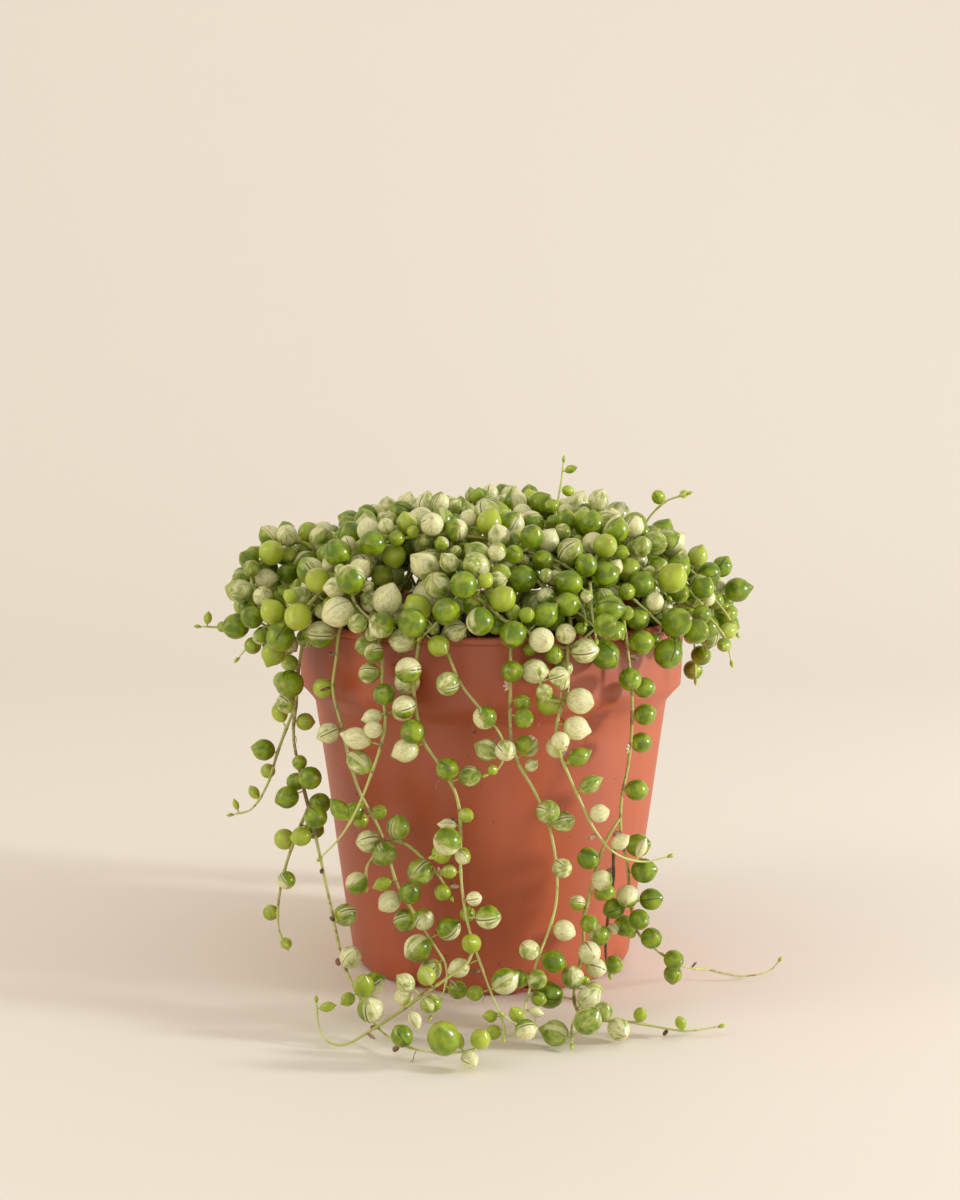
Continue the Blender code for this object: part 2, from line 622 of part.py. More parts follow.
def build():
    for leftover in list(bpy.data.objects):
        bpy.data.objects.remove(leftover)
    parts = bpy.data.collections.new("potted_string_of_pearls")
    cutters = bpy.data.collections.new("cutters")
    bpy.context.scene.collection.children.link(parts)
    bpy.context.scene.collection.children.link(cutters)
    plastic = makeMaterial("terracotta_plastic", (0.45, 0.12, 0.06), 0.42)
    peat = makeMaterial("compost", (0.035, 0.02, 0.012), 0.95)
    green = makeMaterial("pearl_green", (0.13, 0.25, 0.04), 0.3)
    mottled = makeMaterial("pearl_variegated", (0.42, 0.5, 0.22), 0.3)
    makePot(parts, cutters, plastic)
    makeSoil(parts, peat)
    space = Space()
    shoots = layStems(space)
    leaves = growLeaves(space, shoots)
    for name in dict.fromkeys(owner for owner, line, words in shoots):
        tones = [leaf[6] for leaf in leaves if leaf[0] == name]
        mostlyGreen = sum(tone in "gy" for tone in tones) > len(tones) / 2
        makeStrand(name, shoots, leaves, parts, cutters, green if mostlyGreen else mottled)


build()
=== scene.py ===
import math
import random

import bmesh
import bpy
from mathutils import Matrix, Vector, noise


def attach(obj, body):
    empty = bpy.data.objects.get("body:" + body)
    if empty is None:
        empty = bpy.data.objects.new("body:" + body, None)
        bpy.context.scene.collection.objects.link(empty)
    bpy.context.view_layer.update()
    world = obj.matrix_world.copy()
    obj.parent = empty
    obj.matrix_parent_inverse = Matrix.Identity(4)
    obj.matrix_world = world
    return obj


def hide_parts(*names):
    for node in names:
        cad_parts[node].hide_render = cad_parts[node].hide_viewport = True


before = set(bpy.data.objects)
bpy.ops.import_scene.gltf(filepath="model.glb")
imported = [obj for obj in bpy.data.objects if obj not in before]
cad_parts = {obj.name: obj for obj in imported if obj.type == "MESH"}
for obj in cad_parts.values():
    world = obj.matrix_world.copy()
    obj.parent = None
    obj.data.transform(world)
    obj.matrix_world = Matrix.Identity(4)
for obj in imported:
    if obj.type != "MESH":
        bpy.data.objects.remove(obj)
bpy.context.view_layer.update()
mm = 0.001  # sizes below are in millimetres

pot = {
    "height": 110.0, "rimRadius": 60.0, "lipHeight": 3.0, "lipProud": 0.8, "collarBottom": 87.5,
    "collarTaper": 0.8, "shoulderDrop": 3.5, "shoulderRadius": 55.0, "baseRadius": 43.6, "baseCorner": 3.0,
    "wall": 1.3, "steps": 160,
    "notches": 8, "notchWidth": 9.0, "notchHeight": 3.0, "notchTurn": 17.0, "mouthInset": 2.4,
    "colour": (0.46, 0.085, 0.018), "deepColour": (0.37, 0.062, 0.012), "roughness": 0.48,
    "scuff": (0.75, 0.42, 0.3), "speck": (0.08, 0.03, 0.02),
}

soil = {
    "edge": 103.0, "crown": 105.5, "crumbs": 420, "seed": 5,
    "dark": (0.010, 0.006, 0.004), "light": (0.075, 0.042, 0.024), "fibre": (0.2, 0.12, 0.06),
}

plant = {
    "gap": 0.35, "stemRadius": 0.6, "tipRadius": 0.3, "petiole": 1.1, "stemSides": 6, "stemStep": 1.6,
    "pearlSegments": 10, "pearlRings": 7, "lookSeed": 4, "fullness": 1.065,
}

crown = {
    "width": 79.0, "shift": -3.0, "depth": 70.0, "top": 147.0, "edge": 104.0, "steepness": 4.5, "ripple": 2.2,
    "shoots": 30, "rootRadius": 44.0, "seed": 12,
    "pearlSizes": ((6.2, 8.3), (5.2, 6.6), (4.2, 5.2)),  # big pearls take their places first
}

# Degrees round the stem of a leaf's side, and how much longer than wide each shape of leaf is.
leafSides = {"f": 0, "R": 40, "r": 82, "b": 180, "l": -82, "L": -40}
leafShapes = {"": 1.0, "t": 1.3, "s": 1.7, "e": 1.25}

# Shares of the tones g, m, h, c and y to the right of an x: mostly green on the right of the crown,
# mottled in the middle, fresh green at the far left.
crownTones = ((10, (52, 24, 9, 8, 7)), (-52, (24, 46, 13, 7, 10)), (-1000, (30, 22, 8, 4, 36)))

# Each trailing stem is a list of shoots: given points, then its leaves in order from crown to tip.
# A leaf is a side, a diameter, a tone (g green, h half, m mottled, c cream, y young) and maybe a shape.
# A dot is a bare place, and a plus sign puts two leaves at one place.
trailingStems = {
    "trailing_stem_left_outer": [
        ([(-40, -20, 106), (-47, -26, 116), (-54, -32, 112), (-57, -34, 98), (-58, -33, 87), (-59, -33, 77),
          (-57, -35, 66), (-54, -38, 55), (-51, -42, 44), (-47, -49, 29), (-43, -58, 16), (-38, -66, 8),
          (-33, -77, 4), (-27, -87, 2.5), (-19, -96, 3), (-10, -100, 4), (-3, -96, 4)],
         ". . R8m . f7.5m . L7.4y r6m . l5.3yt R8.6g . l6.7m b5.5y . . r4.6g l5.7g+r7.1g l6.9g b6.6g "
         "r7.1g+b6.4y L6y . . . . . b7m . . . r6.6m . l4.1g+r6.8h R6.4ye . . l7.6h . . . f6.2g . . f9.2ge "
         "l4.8ct+r3.4ys f5.6y"),
        ([(-59, -33, 86), (-62, -28, 77), (-65, -25, 69), (-68, -23, 60), (-73, -22, 52), (-79, -21, 50)],
         ". . l5.2yt . f6.8g . l4.7y . l3.4gs . l2gs"),
        ([(-54, -38, 56), (-59, -36, 45), (-62, -35, 36), (-64, -34, 26), (-64, -34, 18), (-62, -34, 13)],
         "l6.6y r6g . l6.5y . r5.6h . . l5y . r3.6gs"),
    ],
    "trailing_stem_cream_tip": [
        ([(-25, -40, 105), (-30, -50, 114), (-32, -55, 109), (-31, -58, 103), (-31, -60, 95), (-30, -63, 88),
          (-31, -65, 81), (-34, -65, 72), (-38, -63, 62), (-43, -60, 53), (-49, -57, 46)],
         ". . R7m L6.6m r6.4c l6.4m f5.7h l6.2m . R6.4g l4.8ct+r6.3h l5.2c l6.6ct . l7mt . . . l5.4gt . . ."),
    ],
    "trailing_stem_mottled": [
        ([(-14, -40, 105), (-18, -52, 115), (-20, -59, 112), (-21, -62, 106), (-22, -64, 97), (-21, -65, 88),
          (-19, -66, 81), (-14, -67, 74), (-10, -67, 66), (-9, -67, 57), (-9, -68, 46), (-8, -69, 36),
          (-6, -71, 27), (-3, -74, 19), (0, -78, 12), (3, -84, 6), (3, -92, 5)],
         ". . . R9.6c l7.4m . l7.4m+r6.8c . f7.6h L7.6m L6.8h . f7.2g L7.2h . R6.6g R6.2m . R4.3yt l3.8ct "
         "l8.2h b4.4y l4.2y . r4.4c r7h+b4.6g . f5.8yt l5.8m . r7.6h+l4.6g . l3.6g l4.2g+R5.8m r6h"),
        ([(-5, -72, 25), (-7, -76, 21), (-12, -79, 18), (-19, -82, 14), (-26, -83, 9), (-33, -85, 5),
          (-40, -87, 1.5), (-45, -86, 1.8), (-48, -82, 5), (-49, -77, 10)],
         ". . . . l5.4y l5.4m+r4.2m l5.4c+r4ct . . . . . . . . l3gs"),
        ([(-9, -68, 52), (-12.5, -70, 51), (-16, -71, 50)], "L4.6h R6y"),
    ],
    "trailing_stem_inner_left": [
        ([(-34, -34, 105), (-41, -41, 114), (-44, -45, 110), (-45, -46, 102), (-46, -47, 93), (-44, -49, 85),
          (-42, -51, 77), (-40, -51, 69), (-37.5, -51, 62), (-33, -52, 54), (-30, -54, 46), (-27, -56, 37),
          (-22, -60, 30), (-17, -64, 23), (-13, -68, 17), (-14, -72, 10), (-17, -77, 6)],
         ". . . L7.4m . L8.2h . . . l6.1y . . L6.3m . . . . . L5.4g l4.6g+r4.4g . L6.8m f7m . l4.4yt L6.6c "
         "f6.6g l7m R6.4h L8h+r7h . L6.6m . r5.4g . f5.6h"),
        ([(-30, -54, 51), (-25, -57, 50), (-19, -61, 46), (-15, -63, 42), (-12, -65, 37)],
         ". r7m . . l7.8m . f5g"),
        ([(-30, -54, 49), (-33, -56, 47), (-36, -57, 43), (-36, -58, 38)], "l5.6g f6.2m . f6.6h"),
    ],
    "trailing_stem_brown_tip": [
        ([(-5, -42, 105), (-10, -53, 114), (-14, -60, 111), (-12, -64, 105), (-9, -66, 98), (-3.5, -67, 91),
          (1.5, -68, 85), (3.5, -68, 79), (1.5, -68, 74), (-1.6, -68.5, 72.6)],
         ". . R7m . . r6.4m . . L6.9m . . f6.9h . f6.2m L6.6m l3g"),
    ],
    "trailing_stem_centre": [
        ([(8, -38, 105), (7, -53, 115), (6, -61, 113), (5, -65, 106), (5, -66, 95), (5, -67, 84),
          (7, -67, 76), (12, -67, 67), (16, -67, 57), (18, -67, 46), (18, -67, 36), (16, -68, 28),
          (13, -70, 21), (11, -73, 15), (9, -78, 9), (8, -84, 5), (3, -88, 10)],
         ". . R7.6m . r5.2g . L6.2g . . f6.2g+r7.4h . r4.6g R5.6g . f5g R6.6m r3.8m . . f7m r6.2m . . f5.8m "
         ". . . r6.2c . r6.7g+L6m . f5.8m+l5.6g r4.2g r3.2ct L4.2yt . f6.4h"),
    ],
    "trailing_stem_white": [
        ([(20, -38, 105), (22, -50, 114), (22, -58, 112), (21, -62, 105), (21, -65, 96), (18, -69, 88),
          (18, -70, 81), (21, -69, 73), (25, -68, 64), (29, -67, 56), (35, -65, 49), (43, -62, 46),
          (50, -60, 47)],
         ". . . R7.5m . . L6m R8.4m . . R7.6c l6.8y r7.2c f5.3c R6.4c r5.4gt . r5.2mt . R5.4c . . R4.6ct . "
         "r3.3cs . ."),
        ([(21, -66, 93), (17.5, -69, 93.5), (14, -70, 95), (13, -70, 101)], "l4.6m+r6.3c . f4.9m f5.5m"),
    ],
    "trailing_stem_green_right": [
        ([(34, -28, 105), (37, -42, 115), (38, -50, 111), (39, -52, 102), (40, -52, 92), (40, -52, 82),
          (39, -53, 72), (37, -55, 62), (37, -55, 52), (39, -54, 43), (40, -53, 32), (42, -53, 23),
          (48, -52, 17), (54, -48, 12), (60, -38, 7), (66, -30, 4), (75, -30, 2), (84, -28, 2.5),
          (88, -25, 5)],
         ". . f8g R7.4g . r7g . r7.4g . L6.9g r6.3g . r6.5g . r6.2g . . r6.5g . . . R7g . R7.4g L6.8h "
         "R6.6g+l6.2g f6.2g l2.8y f6.4g . f6g l5.6g . . . . . . . . . . ."),
        ([(37, -55, 57), (33, -58, 52), (30, -60, 45), (28, -61, 37), (26, -62, 29), (26, -62, 21),
          (24, -65, 13), (23, -72, 8), (26, -79, 6), (32, -78, 5), (38, -76, 4), (46, -76, 2.5),
          (54, -78, 2), (63, -77, 3)],
         ". . . l6.5g f6.2h R5g l4.6h f5.4g . f6.8c r5.8c r3.2g L6.8m+r4.6y l8g R6.8m . f5.6m l6.6m . f4gt "
         ". . f3.4gt . ."),
        ([(37, -55, 53), (35.3, -51, 46), (35.3, -50, 38), (34.3, -50, 30), (33.4, -51, 23), (33, -53, 16),
          (34, -55, 11)],
         ". . . . . l4.4g . f3.4ct+r6.6g L6.4h . f5.6g"),
        ([(24, -76, 7), (22, -82, 5), (21.5, -88, 2)], ". . l7.4m+r9m"),
    ],
}

# Stems that hang behind and beside the pot: azimuth from +X, and how far below the rim they reach.
backStems = [(8, 24), (46, 70), (64, 118), (81, 52), (98, 122), (114, 84), (131, 60), (172, 26)]

# Sprigs that stand out of the crown: a route and its leaves, written as above.
crownSprigs = {
    "sprig_upright": ([(14, -8, 106), (17, -9, 122), (19, -10, 138), (21, -10, 149), (22, -9, 157)],
                      ". . . R6.2g l6.2g r5.8h l4.9g r4.5g l3.6yt f2.7gs"),
    "sprig_top_right": ([(38, 2, 106), (44, 0, 122), (47, -2, 136), (53, -4, 144), (60, -6, 147)],
                        ". . R7.1g l6.7m r6.6g l5.8g r5.3g . l4.5gt r2.7gs"),
    "sprig_right_outer": ([(44, -6, 105), (54, -10, 117), (63, -14, 119), (70, -18, 113), (74, -20, 106)],
                          ". . L7.1g R7.1m f6.7g l6.2g r6.7g r5.8g . r4.5gt l3.6yt"),
    "sprig_right_low": ([(46, -20, 105), (55, -25, 115), (63, -29, 113), (69, -32, 106), (71, -32, 99)],
                        ". . f7.1g L7.5m r7.1g R6.7g l5.8g . r5.3yt l4.5gt ."),
    "sprig_left_outer": ([(-42, -2, 105), (-54, -6, 119), (-64, -8, 119), (-73, -10, 113), (-81, -12, 107),
                          (-89, -14, 107)],
                         ". . f7.1m R6.7h l7.1g R6.8g l6.7g r6.2y l5.7g . l3.6gt r2.7gs"),
    "sprig_left_top": ([(-36, 4, 106), (-48, 2, 122), (-58, 1, 132), (-68, -1, 131), (-75, -2, 126)],
                       ". . f7.1g R7.1m l7.1y R6.2g l6.2g . l4.9y r4.1gt"),
    "sprig_left_low": ([(-44, -16, 105), (-54, -20, 115), (-62, -23, 113), (-70, -25, 106), (-76, -25, 99)],
                       ". . f7.1g L7.6m r6.7g R6.7g l7.1g . l5.8g r5.3g ."),
    "sprig_front_green": ([(26, -22, 106), (28, -36, 120), (28, -48, 124), (28, -57, 118), (29, -62, 110)],
                          ". . L8.5g R8m l8g R8g l7.6g r8g f7.1g"),
}


def smoothRoute(points, step=1.0):
    # Even-spaced points along the curve through the route's own points.
    knots = [Vector(p) for p in points]
    ends = [2 * knots[0] - knots[1]] + knots + [2 * knots[-1] - knots[-2]]
    fine = []
    for k in range(len(knots) - 1):
        a, b, c, d = ends[k:k + 4]
        for i in range(24):
            t = i / 24
            fine.append(0.5 * (2 * b + (c - a) * t + (2 * a - 5 * b + 4 * c - d) * t * t
                               + (3 * b - a - 3 * c + d) * t * t * t))
    fine.append(knots[-1])
    length = sum((q - p).length for p, q in zip(fine, fine[1:]))
    count = max(2, round(length / step))
    return resample(fine, length, count)


def resample(line, length, count):
    # The line cut into count equal lengths.
    even = [line[0].copy()]
    walked = 0.0
    for p, q in zip(line, line[1:]):
        stretch = (q - p).length
        while len(even) < count and walked + stretch >= length * len(even) / count:
            even.append(p.lerp(q, (length * len(even) / count - walked) / stretch))
        walked += stretch
    even.append(line[-1].copy())
    return [Vector([round(v, 3) for v in p]) for p in even]


def wallRadius(z):
    # Outer radius of the pot at a height.
    collar, shoulder = pot["collarBottom"], pot["collarBottom"] - pot["shoulderDrop"]
    if z > collar:
        return pot["rimRadius"] - pot["collarTaper"] * (pot["height"] - z) / (pot["height"] - collar)
    if z > shoulder:
        return pot["shoulderRadius"] + (z - collar + pot["shoulderDrop"])
    return pot["baseRadius"] + (pot["shoulderRadius"] - pot["baseRadius"]) * max(z, 0) / shoulder


def soilHeight(radius):
    return soil["edge"] + (soil["crown"] - soil["edge"]) * (1 - (radius / pot["rimRadius"]) ** 2)


def crownReach(x, y):
    # How far out over the plan of the crown a point is, from 0 in the middle to 1 at the edge.
    return math.hypot((x - crown["shift"]) / crown["width"], y / crown["depth"])


def crownHeight(x, y):
    # Height of the outermost pearls over a point of the plan.
    reach = crownReach(x, y)
    swell = crown["ripple"] * math.sin(x / 12 + 0.6) * math.cos(y / 13 - 0.4)
    return crown["top"] + swell - (crown["top"] - crown["edge"]) * reach ** crown["steepness"]


def clearOfPot(point, radius):
    # A ball at the point clears the pot, the compost and the surface that the pot stands on.
    across = math.hypot(point.x, point.y)
    if point.z < radius + plant["gap"]:
        return False
    if point.z > pot["height"] + radius + plant["gap"]:
        return True
    inner = pot["rimRadius"] - pot["mouthInset"]
    if point.z > pot["height"]:
        rimAway = math.hypot(max(0, inner - across, across - pot["rimRadius"]), point.z - pot["height"])
        return rimAway > radius + plant["gap"]
    if across < inner:
        return across < inner - radius - plant["gap"] and point.z > soilHeight(across) + radius + plant["gap"]
    return across > wallRadius(point.z + radius) + radius + plant["gap"]


def outward(point):
    # The direction away from the plant's bulk: sideways beside the pot, up on the crown and floor.
    side = Vector((point.x, point.y, 0)).normalized()
    onCrown = min(1, max(0, (point.z - crown["edge"]) / 22))
    onFloor = min(1, max(0, (14 - point.z) / 10))
    return (side + Vector((0, 0, onCrown * 1.4 + onFloor * 1.6))).normalized()


class Space:
    # Balls that are already taken up, in a grid of cells.

    cell = 10.0

    def __init__(self):
        self.cells = {}

    def key(self, point):
        return tuple(int(math.floor(v / self.cell)) for v in point)

    def add(self, point, radius, owner, kind):
        self.cells.setdefault(self.key(point), []).append((point.copy(), radius, owner, kind))

    def near(self, point):
        i, j, k = self.key(point)
        for a in (i - 1, i, i + 1):
            for b in (j - 1, j, j + 1):
                for c in (k - 1, k, k + 1):
                    yield from self.cells.get((a, b, c), ())

    def free(self, point, radius, owner, ownStems=True):
        for other, size, name, kind in self.near(point):
            own = name == owner and kind == "stem"
            if own and not ownStems:
                continue
            room = radius + size + (0 if own else plant["gap"])
            if (other - point).length_squared < room * room:
                return False
        return True


def growShoot(space, name, start, heading, length, depth, rng):
    # A crown shoot that feels its way outwards under the surface of the crown.
    line = [start]
    stride = 4.0
    room = plant["stemRadius"] + 0.6
    rise = 0.9
    while len(line) * stride < length:
        here = line[-1]
        heading += rng.uniform(-0.22, 0.22)
        ahead = here + stride * Vector((math.cos(heading), math.sin(heading), 0))
        goal = max(108, crownHeight(ahead.x, ahead.y) - depth)
        climb = max(-0.9, min(1.6, (goal - here.z) / stride))
        rise += max(-0.7, min(0.5, climb - rise))
        for turn, lift in ((0, 0), (0.3, 0.1), (-0.3, 0.1), (0.6, 0), (-0.6, 0),
                           (0, 0.5), (0, -0.5), (1, 0.2), (-1, 0.2), (0, 1)):
            way = Vector((math.cos(heading + turn), math.sin(heading + turn), rise + lift)).normalized()
            spot = here + stride * way
            middle = here + 0.5 * stride * way
            inside = crownReach(spot.x, spot.y) < 0.92
            tests = (spot, middle) if len(line) > 1 else (spot,)
            if inside and all(clearOfPot(p, room) and space.free(p, room, name) for p in tests):
                heading += turn
                rise += lift
                line.append(Vector([round(v, 2) for v in spot]))
                break
        else:
            break
    return line


def backRoute(azimuth, drop):
    # A stem that leaves the crown behind the pot, hangs, and lies down where it reaches the surface.
    angle = math.radians(azimuth)
    out = Vector((math.cos(angle), math.sin(angle), 0))
    side = Vector((-out.y, out.x, 0))
    points = [out * 42 + Vector((0, 0, 105)), out * 55 + Vector((0, 0, 116)), out * 63 + Vector((0, 0, 111))]
    hang = min(drop, pot["height"] - 16)
    for k in range(1, 2 + int(hang / 14)):
        fall = hang * k / (1 + int(hang / 14))
        sway = 3.5 * math.sin(azimuth + fall / 17)
        points.append(out * 66 + side * sway + Vector((0, 0, 111 - fall)))
    if drop > hang:
        points.append(out * 69 + side * 2 + Vector((0, 0, 7)))
        points.append(out * 78 + side * 8 + Vector((0, 0, 4)))
        points.append(out * 86 + side * 20 + Vector((0, 0, 4)))
    return [tuple(p) for p in points]


def backLeaves(count, rng):
    # Leaves for a stem behind the pot: pearls in ones and twos, then smaller ones towards the tip.
    words = [".", "."]
    for k in range(count - 2):
        if rng.random() < 0.22:
            words.append(".")
            continue
        size = rng.uniform(6.4, 8.8) * (1 if k < count - 6 else 0.8)
        words.append(f"{rng.choice('lLfRr')}{size:.1f}{rng.choice('gggmmmhyc')}")
    return words


def layStems(space):
    # Every shoot of the plant as an even line, each with the words for its leaves, or None.
    rng = random.Random(crown["seed"])
    shoots = []
    for name, parts in trailingStems.items():
        grown = []
        for points, leaves in parts:
            start = Vector(points[0])
            root = min(grown or [start], key=lambda p: (p - start).length)
            line = smoothRoute([root] + points[1:])
            grown += line
            shoots.append([name, line, leaves.split()])
    for k, (azimuth, drop) in enumerate(backStems):
        line = smoothRoute(backRoute(azimuth, drop))
        shoots.append([f"trailing_stem_back_{k + 1:02d}", line, backLeaves(len(line) // 5, rng)])
    for name, (points, leaves) in crownSprigs.items():
        shoots.append([name, smoothRoute(points), leaves.split()])
    for name, line, leaves in shoots:
        for point in line:
            space.add(point, plant["stemRadius"], name, "stem")
    for k in range(crown["shoots"]):
        name = f"crown_shoot_{k + 1:02d}"
        turn = k * math.pi * (3 - math.sqrt(5))
        across = crown["rootRadius"] * math.sqrt((k + 0.5) / crown["shoots"])
        line = []
        while len(line) < 9:
            start = Vector((across * math.cos(turn), across * math.sin(turn), soilHeight(across) + 1))
            if space.free(start, 3 * plant["stemRadius"], name):
                heading = turn + rng.uniform(-1, 1) + (2.6 if k % 5 in (2, 4) else 0)
                length, sag = rng.uniform(56, 92), rng.choice((8, 10, 13))
                line = growShoot(space, name, start, heading, length, sag, rng)
            turn += 0.11
        main = smoothRoute(line)
        shoots.append([name, main, None])
        for point in main:
            space.add(point, plant["stemRadius"], name, "stem")
        fork = main[len(main) * 2 // 5]
        tip = main[min(len(main) - 1, len(main) * 2 // 5 + 4)]
        heading = math.atan2(tip.y - fork.y, tip.x - fork.x) + rng.choice((-1.1, 1.1))
        line = growShoot(space, name, fork, heading, rng.uniform(28, 46), rng.choice((7, 9, 11)), rng)
        if len(line) > 3:
            side = smoothRoute(line)
            shoots.append([name, side, None])
            for point in side:
                space.add(point, plant["stemRadius"], name, "stem")
    return shoots


def leafFrame(line, index):
    # Where a leaf springs from, and the outward, rightward and onward directions there.
    at = line[index]
    along = (line[min(index + 2, len(line) - 1)] - line[max(index - 2, 0)]).normalized()
    normal = outward(at)
    normal = (normal - along * normal.dot(along)).normalized()
    return at, normal, normal.cross(along), along


def placeLeaf(space, name, line, index, angle, size, stretch, rng):
    # The leaf's centre and direction where it fits nearest to the way asked for, or None.
    at, normal, right, along = leafFrame(line, index)
    lean = rng.uniform(-0.25, 0.25)
    for shrink in (1, 0.88, 0.76):
        radius = size / 2 * shrink
        for turn in (0, 16, -16, 34, -34, 58, -58, 88, -88, 125, -125):
            way = math.radians(angle + turn)
            aim = (normal * math.cos(way) + right * math.sin(way) + along * lean).normalized()
            for neck in (plant["petiole"], plant["petiole"] + 0.9, plant["petiole"] + 2):
                centre = at + aim * (neck + radius * stretch)
                centre = Vector([round(v, 3) for v in centre])
                throat = centre - aim * radius * stretch * 0.95
                if (clearOfPot(centre, radius) and space.free(centre, radius, name)
                        and space.free(throat, radius * 0.45, name, False)):
                    space.add(centre, radius, name, "leaf")
                    space.add(throat, radius * 0.45, name, "neck")
                    return centre, aim, radius
    return None


def readLeaf(word):
    # Side angle, diameter, tone and stretch of a leaf word such as r8.5gt.
    text = word[1:]
    digits = text.rstrip("abcdefghijklmnopqrstuvwxyz")
    marks = text[len(digits):]
    return leafSides[word[0]], float(digits), marks[0], leafShapes[marks[1:]]


def crownTone(at, rng):
    shares = next(shares for edge, shares in crownTones if at.x > edge)
    return rng.choices("gmhcy", shares)[0]


def growLeaves(space, shoots):
    # All leaves: (name, attachment, centre, direction, radius, stretch, tone).
    rng = random.Random(crown["seed"] + 1)
    leaves = []
    for name, line, words in shoots:
        for k, word in enumerate(words or ()):
            index = round((k + 0.5) / len(words) * (len(line) - 1))
            for leaf in word.split("+"):
                if leaf == ".":
                    continue
                angle, size, tone, stretch = readLeaf(leaf)
                angle += rng.uniform(-8, 8)
                found = placeLeaf(space, name, line, index, angle, size, stretch, rng)
                if found:
                    leaves.append((name, line[index], *found, stretch, tone))
    for sizes in crown["pearlSizes"]:
        places = [(name, line, k) for name, line, words in shoots if words is None
                  for k in range(5, len(line), 3)]
        rng.shuffle(places)
        for name, line, k in places:
            at = line[k]
            angle = rng.uniform(-95, 95)
            size = rng.uniform(*sizes)
            if at.y < -34 and at.z < 128 and sizes[0] > 6:  # the biggest pearls hang at the front
                size += 0.9
            tone = crownTone(at, rng)
            if at.z < crownHeight(at.x, at.y) - 22:
                continue
            found = placeLeaf(space, name, line, k, angle, size, 1, rng)
            if found:
                leaves.append((name, at, *found, 1, tone))
    return leaves


def setNode(tree, kind, **values):
    # A new shader node; words name its properties or its sockets.
    fresh = tree.nodes.new(kind)
    for key, value in values.items():
        if hasattr(fresh, key):
            setattr(fresh, key, value)
        else:
            fresh.inputs[key.replace("_", " ")].default_value = value
    return fresh


def feed(tree, socket, value):
    if isinstance(value, bpy.types.NodeSocket):
        tree.links.new(value, socket)
    else:
        socket.default_value = value


def sums(tree, operation, a, b=0.0):
    step = setNode(tree, "ShaderNodeMath", operation=operation)
    feed(tree, step.inputs[0], a)
    feed(tree, step.inputs[1], b)
    return step.outputs[0]


def vectors(tree, operation, a, b=(0, 0, 0)):
    step = setNode(tree, "ShaderNodeVectorMath", operation=operation)
    feed(tree, step.inputs[0], a)
    feed(tree, step.inputs[1], b)
    return step.outputs["Value" if operation in ("DOT_PRODUCT", "LENGTH") else "Vector"]


def fade(tree, value, low, high, start=0.0, end=1.0):
    step = setNode(tree, "ShaderNodeMapRange", interpolation_type="SMOOTHSTEP")
    for socket, number in zip(step.inputs, (value, low, high, start, end)):
        feed(tree, socket, number)
    return step.outputs[0]


def blend(tree, share, a, b):
    step = setNode(tree, "ShaderNodeMix", data_type="RGBA", blend_type="MIX")
    feed(tree, step.inputs[0], share)
    feed(tree, step.inputs[6], a if isinstance(a, bpy.types.NodeSocket) else (*a, 1))
    feed(tree, step.inputs[7], b if isinstance(b, bpy.types.NodeSocket) else (*b, 1))
    return step.outputs[2]


def cloud(tree, place, scale, detail=2.0, roughness=0.5, distortion=0.0):
    step = setNode(
        tree, "ShaderNodeTexNoise", Scale=scale, Detail=detail, Roughness=roughness, Distortion=distortion)
    feed(tree, step.inputs["Vector"], place)
    return step.outputs["Fac"]


def objectPlace(tree):
    return setNode(tree, "ShaderNodeTexCoord").outputs["Object"]


def readLook(tree):
    # The four values of the look attribute.
    look = setNode(tree, "ShaderNodeAttribute", attribute_name="look")
    parts = setNode(tree, "ShaderNodeSeparateColor")
    feed(tree, parts.inputs[0], look.outputs["Color"])
    return *parts.outputs, look.outputs["Alpha"]


def newMaterial(name, **values):
    material = bpy.data.materials.new(name)
    material.use_nodes = True
    shader = material.node_tree.nodes["Principled BSDF"]
    for key, value in values.items():
        shader.inputs[key.replace("_", " ")].default_value = value
    return material, material.node_tree, shader


def bumps(tree, shader, height, strength, distance):
    bump = setNode(tree, "ShaderNodeBump", Strength=strength, Distance=distance)
    feed(tree, bump.inputs["Height"], height)
    feed(tree, shader.inputs["Normal"], bump.outputs[0])


pearlLook = {
    "deep": (0.118, 0.192, 0.004), "fresh": (0.27, 0.36, 0.009), "veil": (0.34, 0.39, 0.085),
    "cream": (0.78, 0.74, 0.42), "young": (0.49, 0.57, 0.05), "slit": (0.07, 0.075, 0.012),
    "tip": (0.44, 0.26, 0.12), "roughness": 0.25, "glow": 0.22, "rim": 0.08,
}


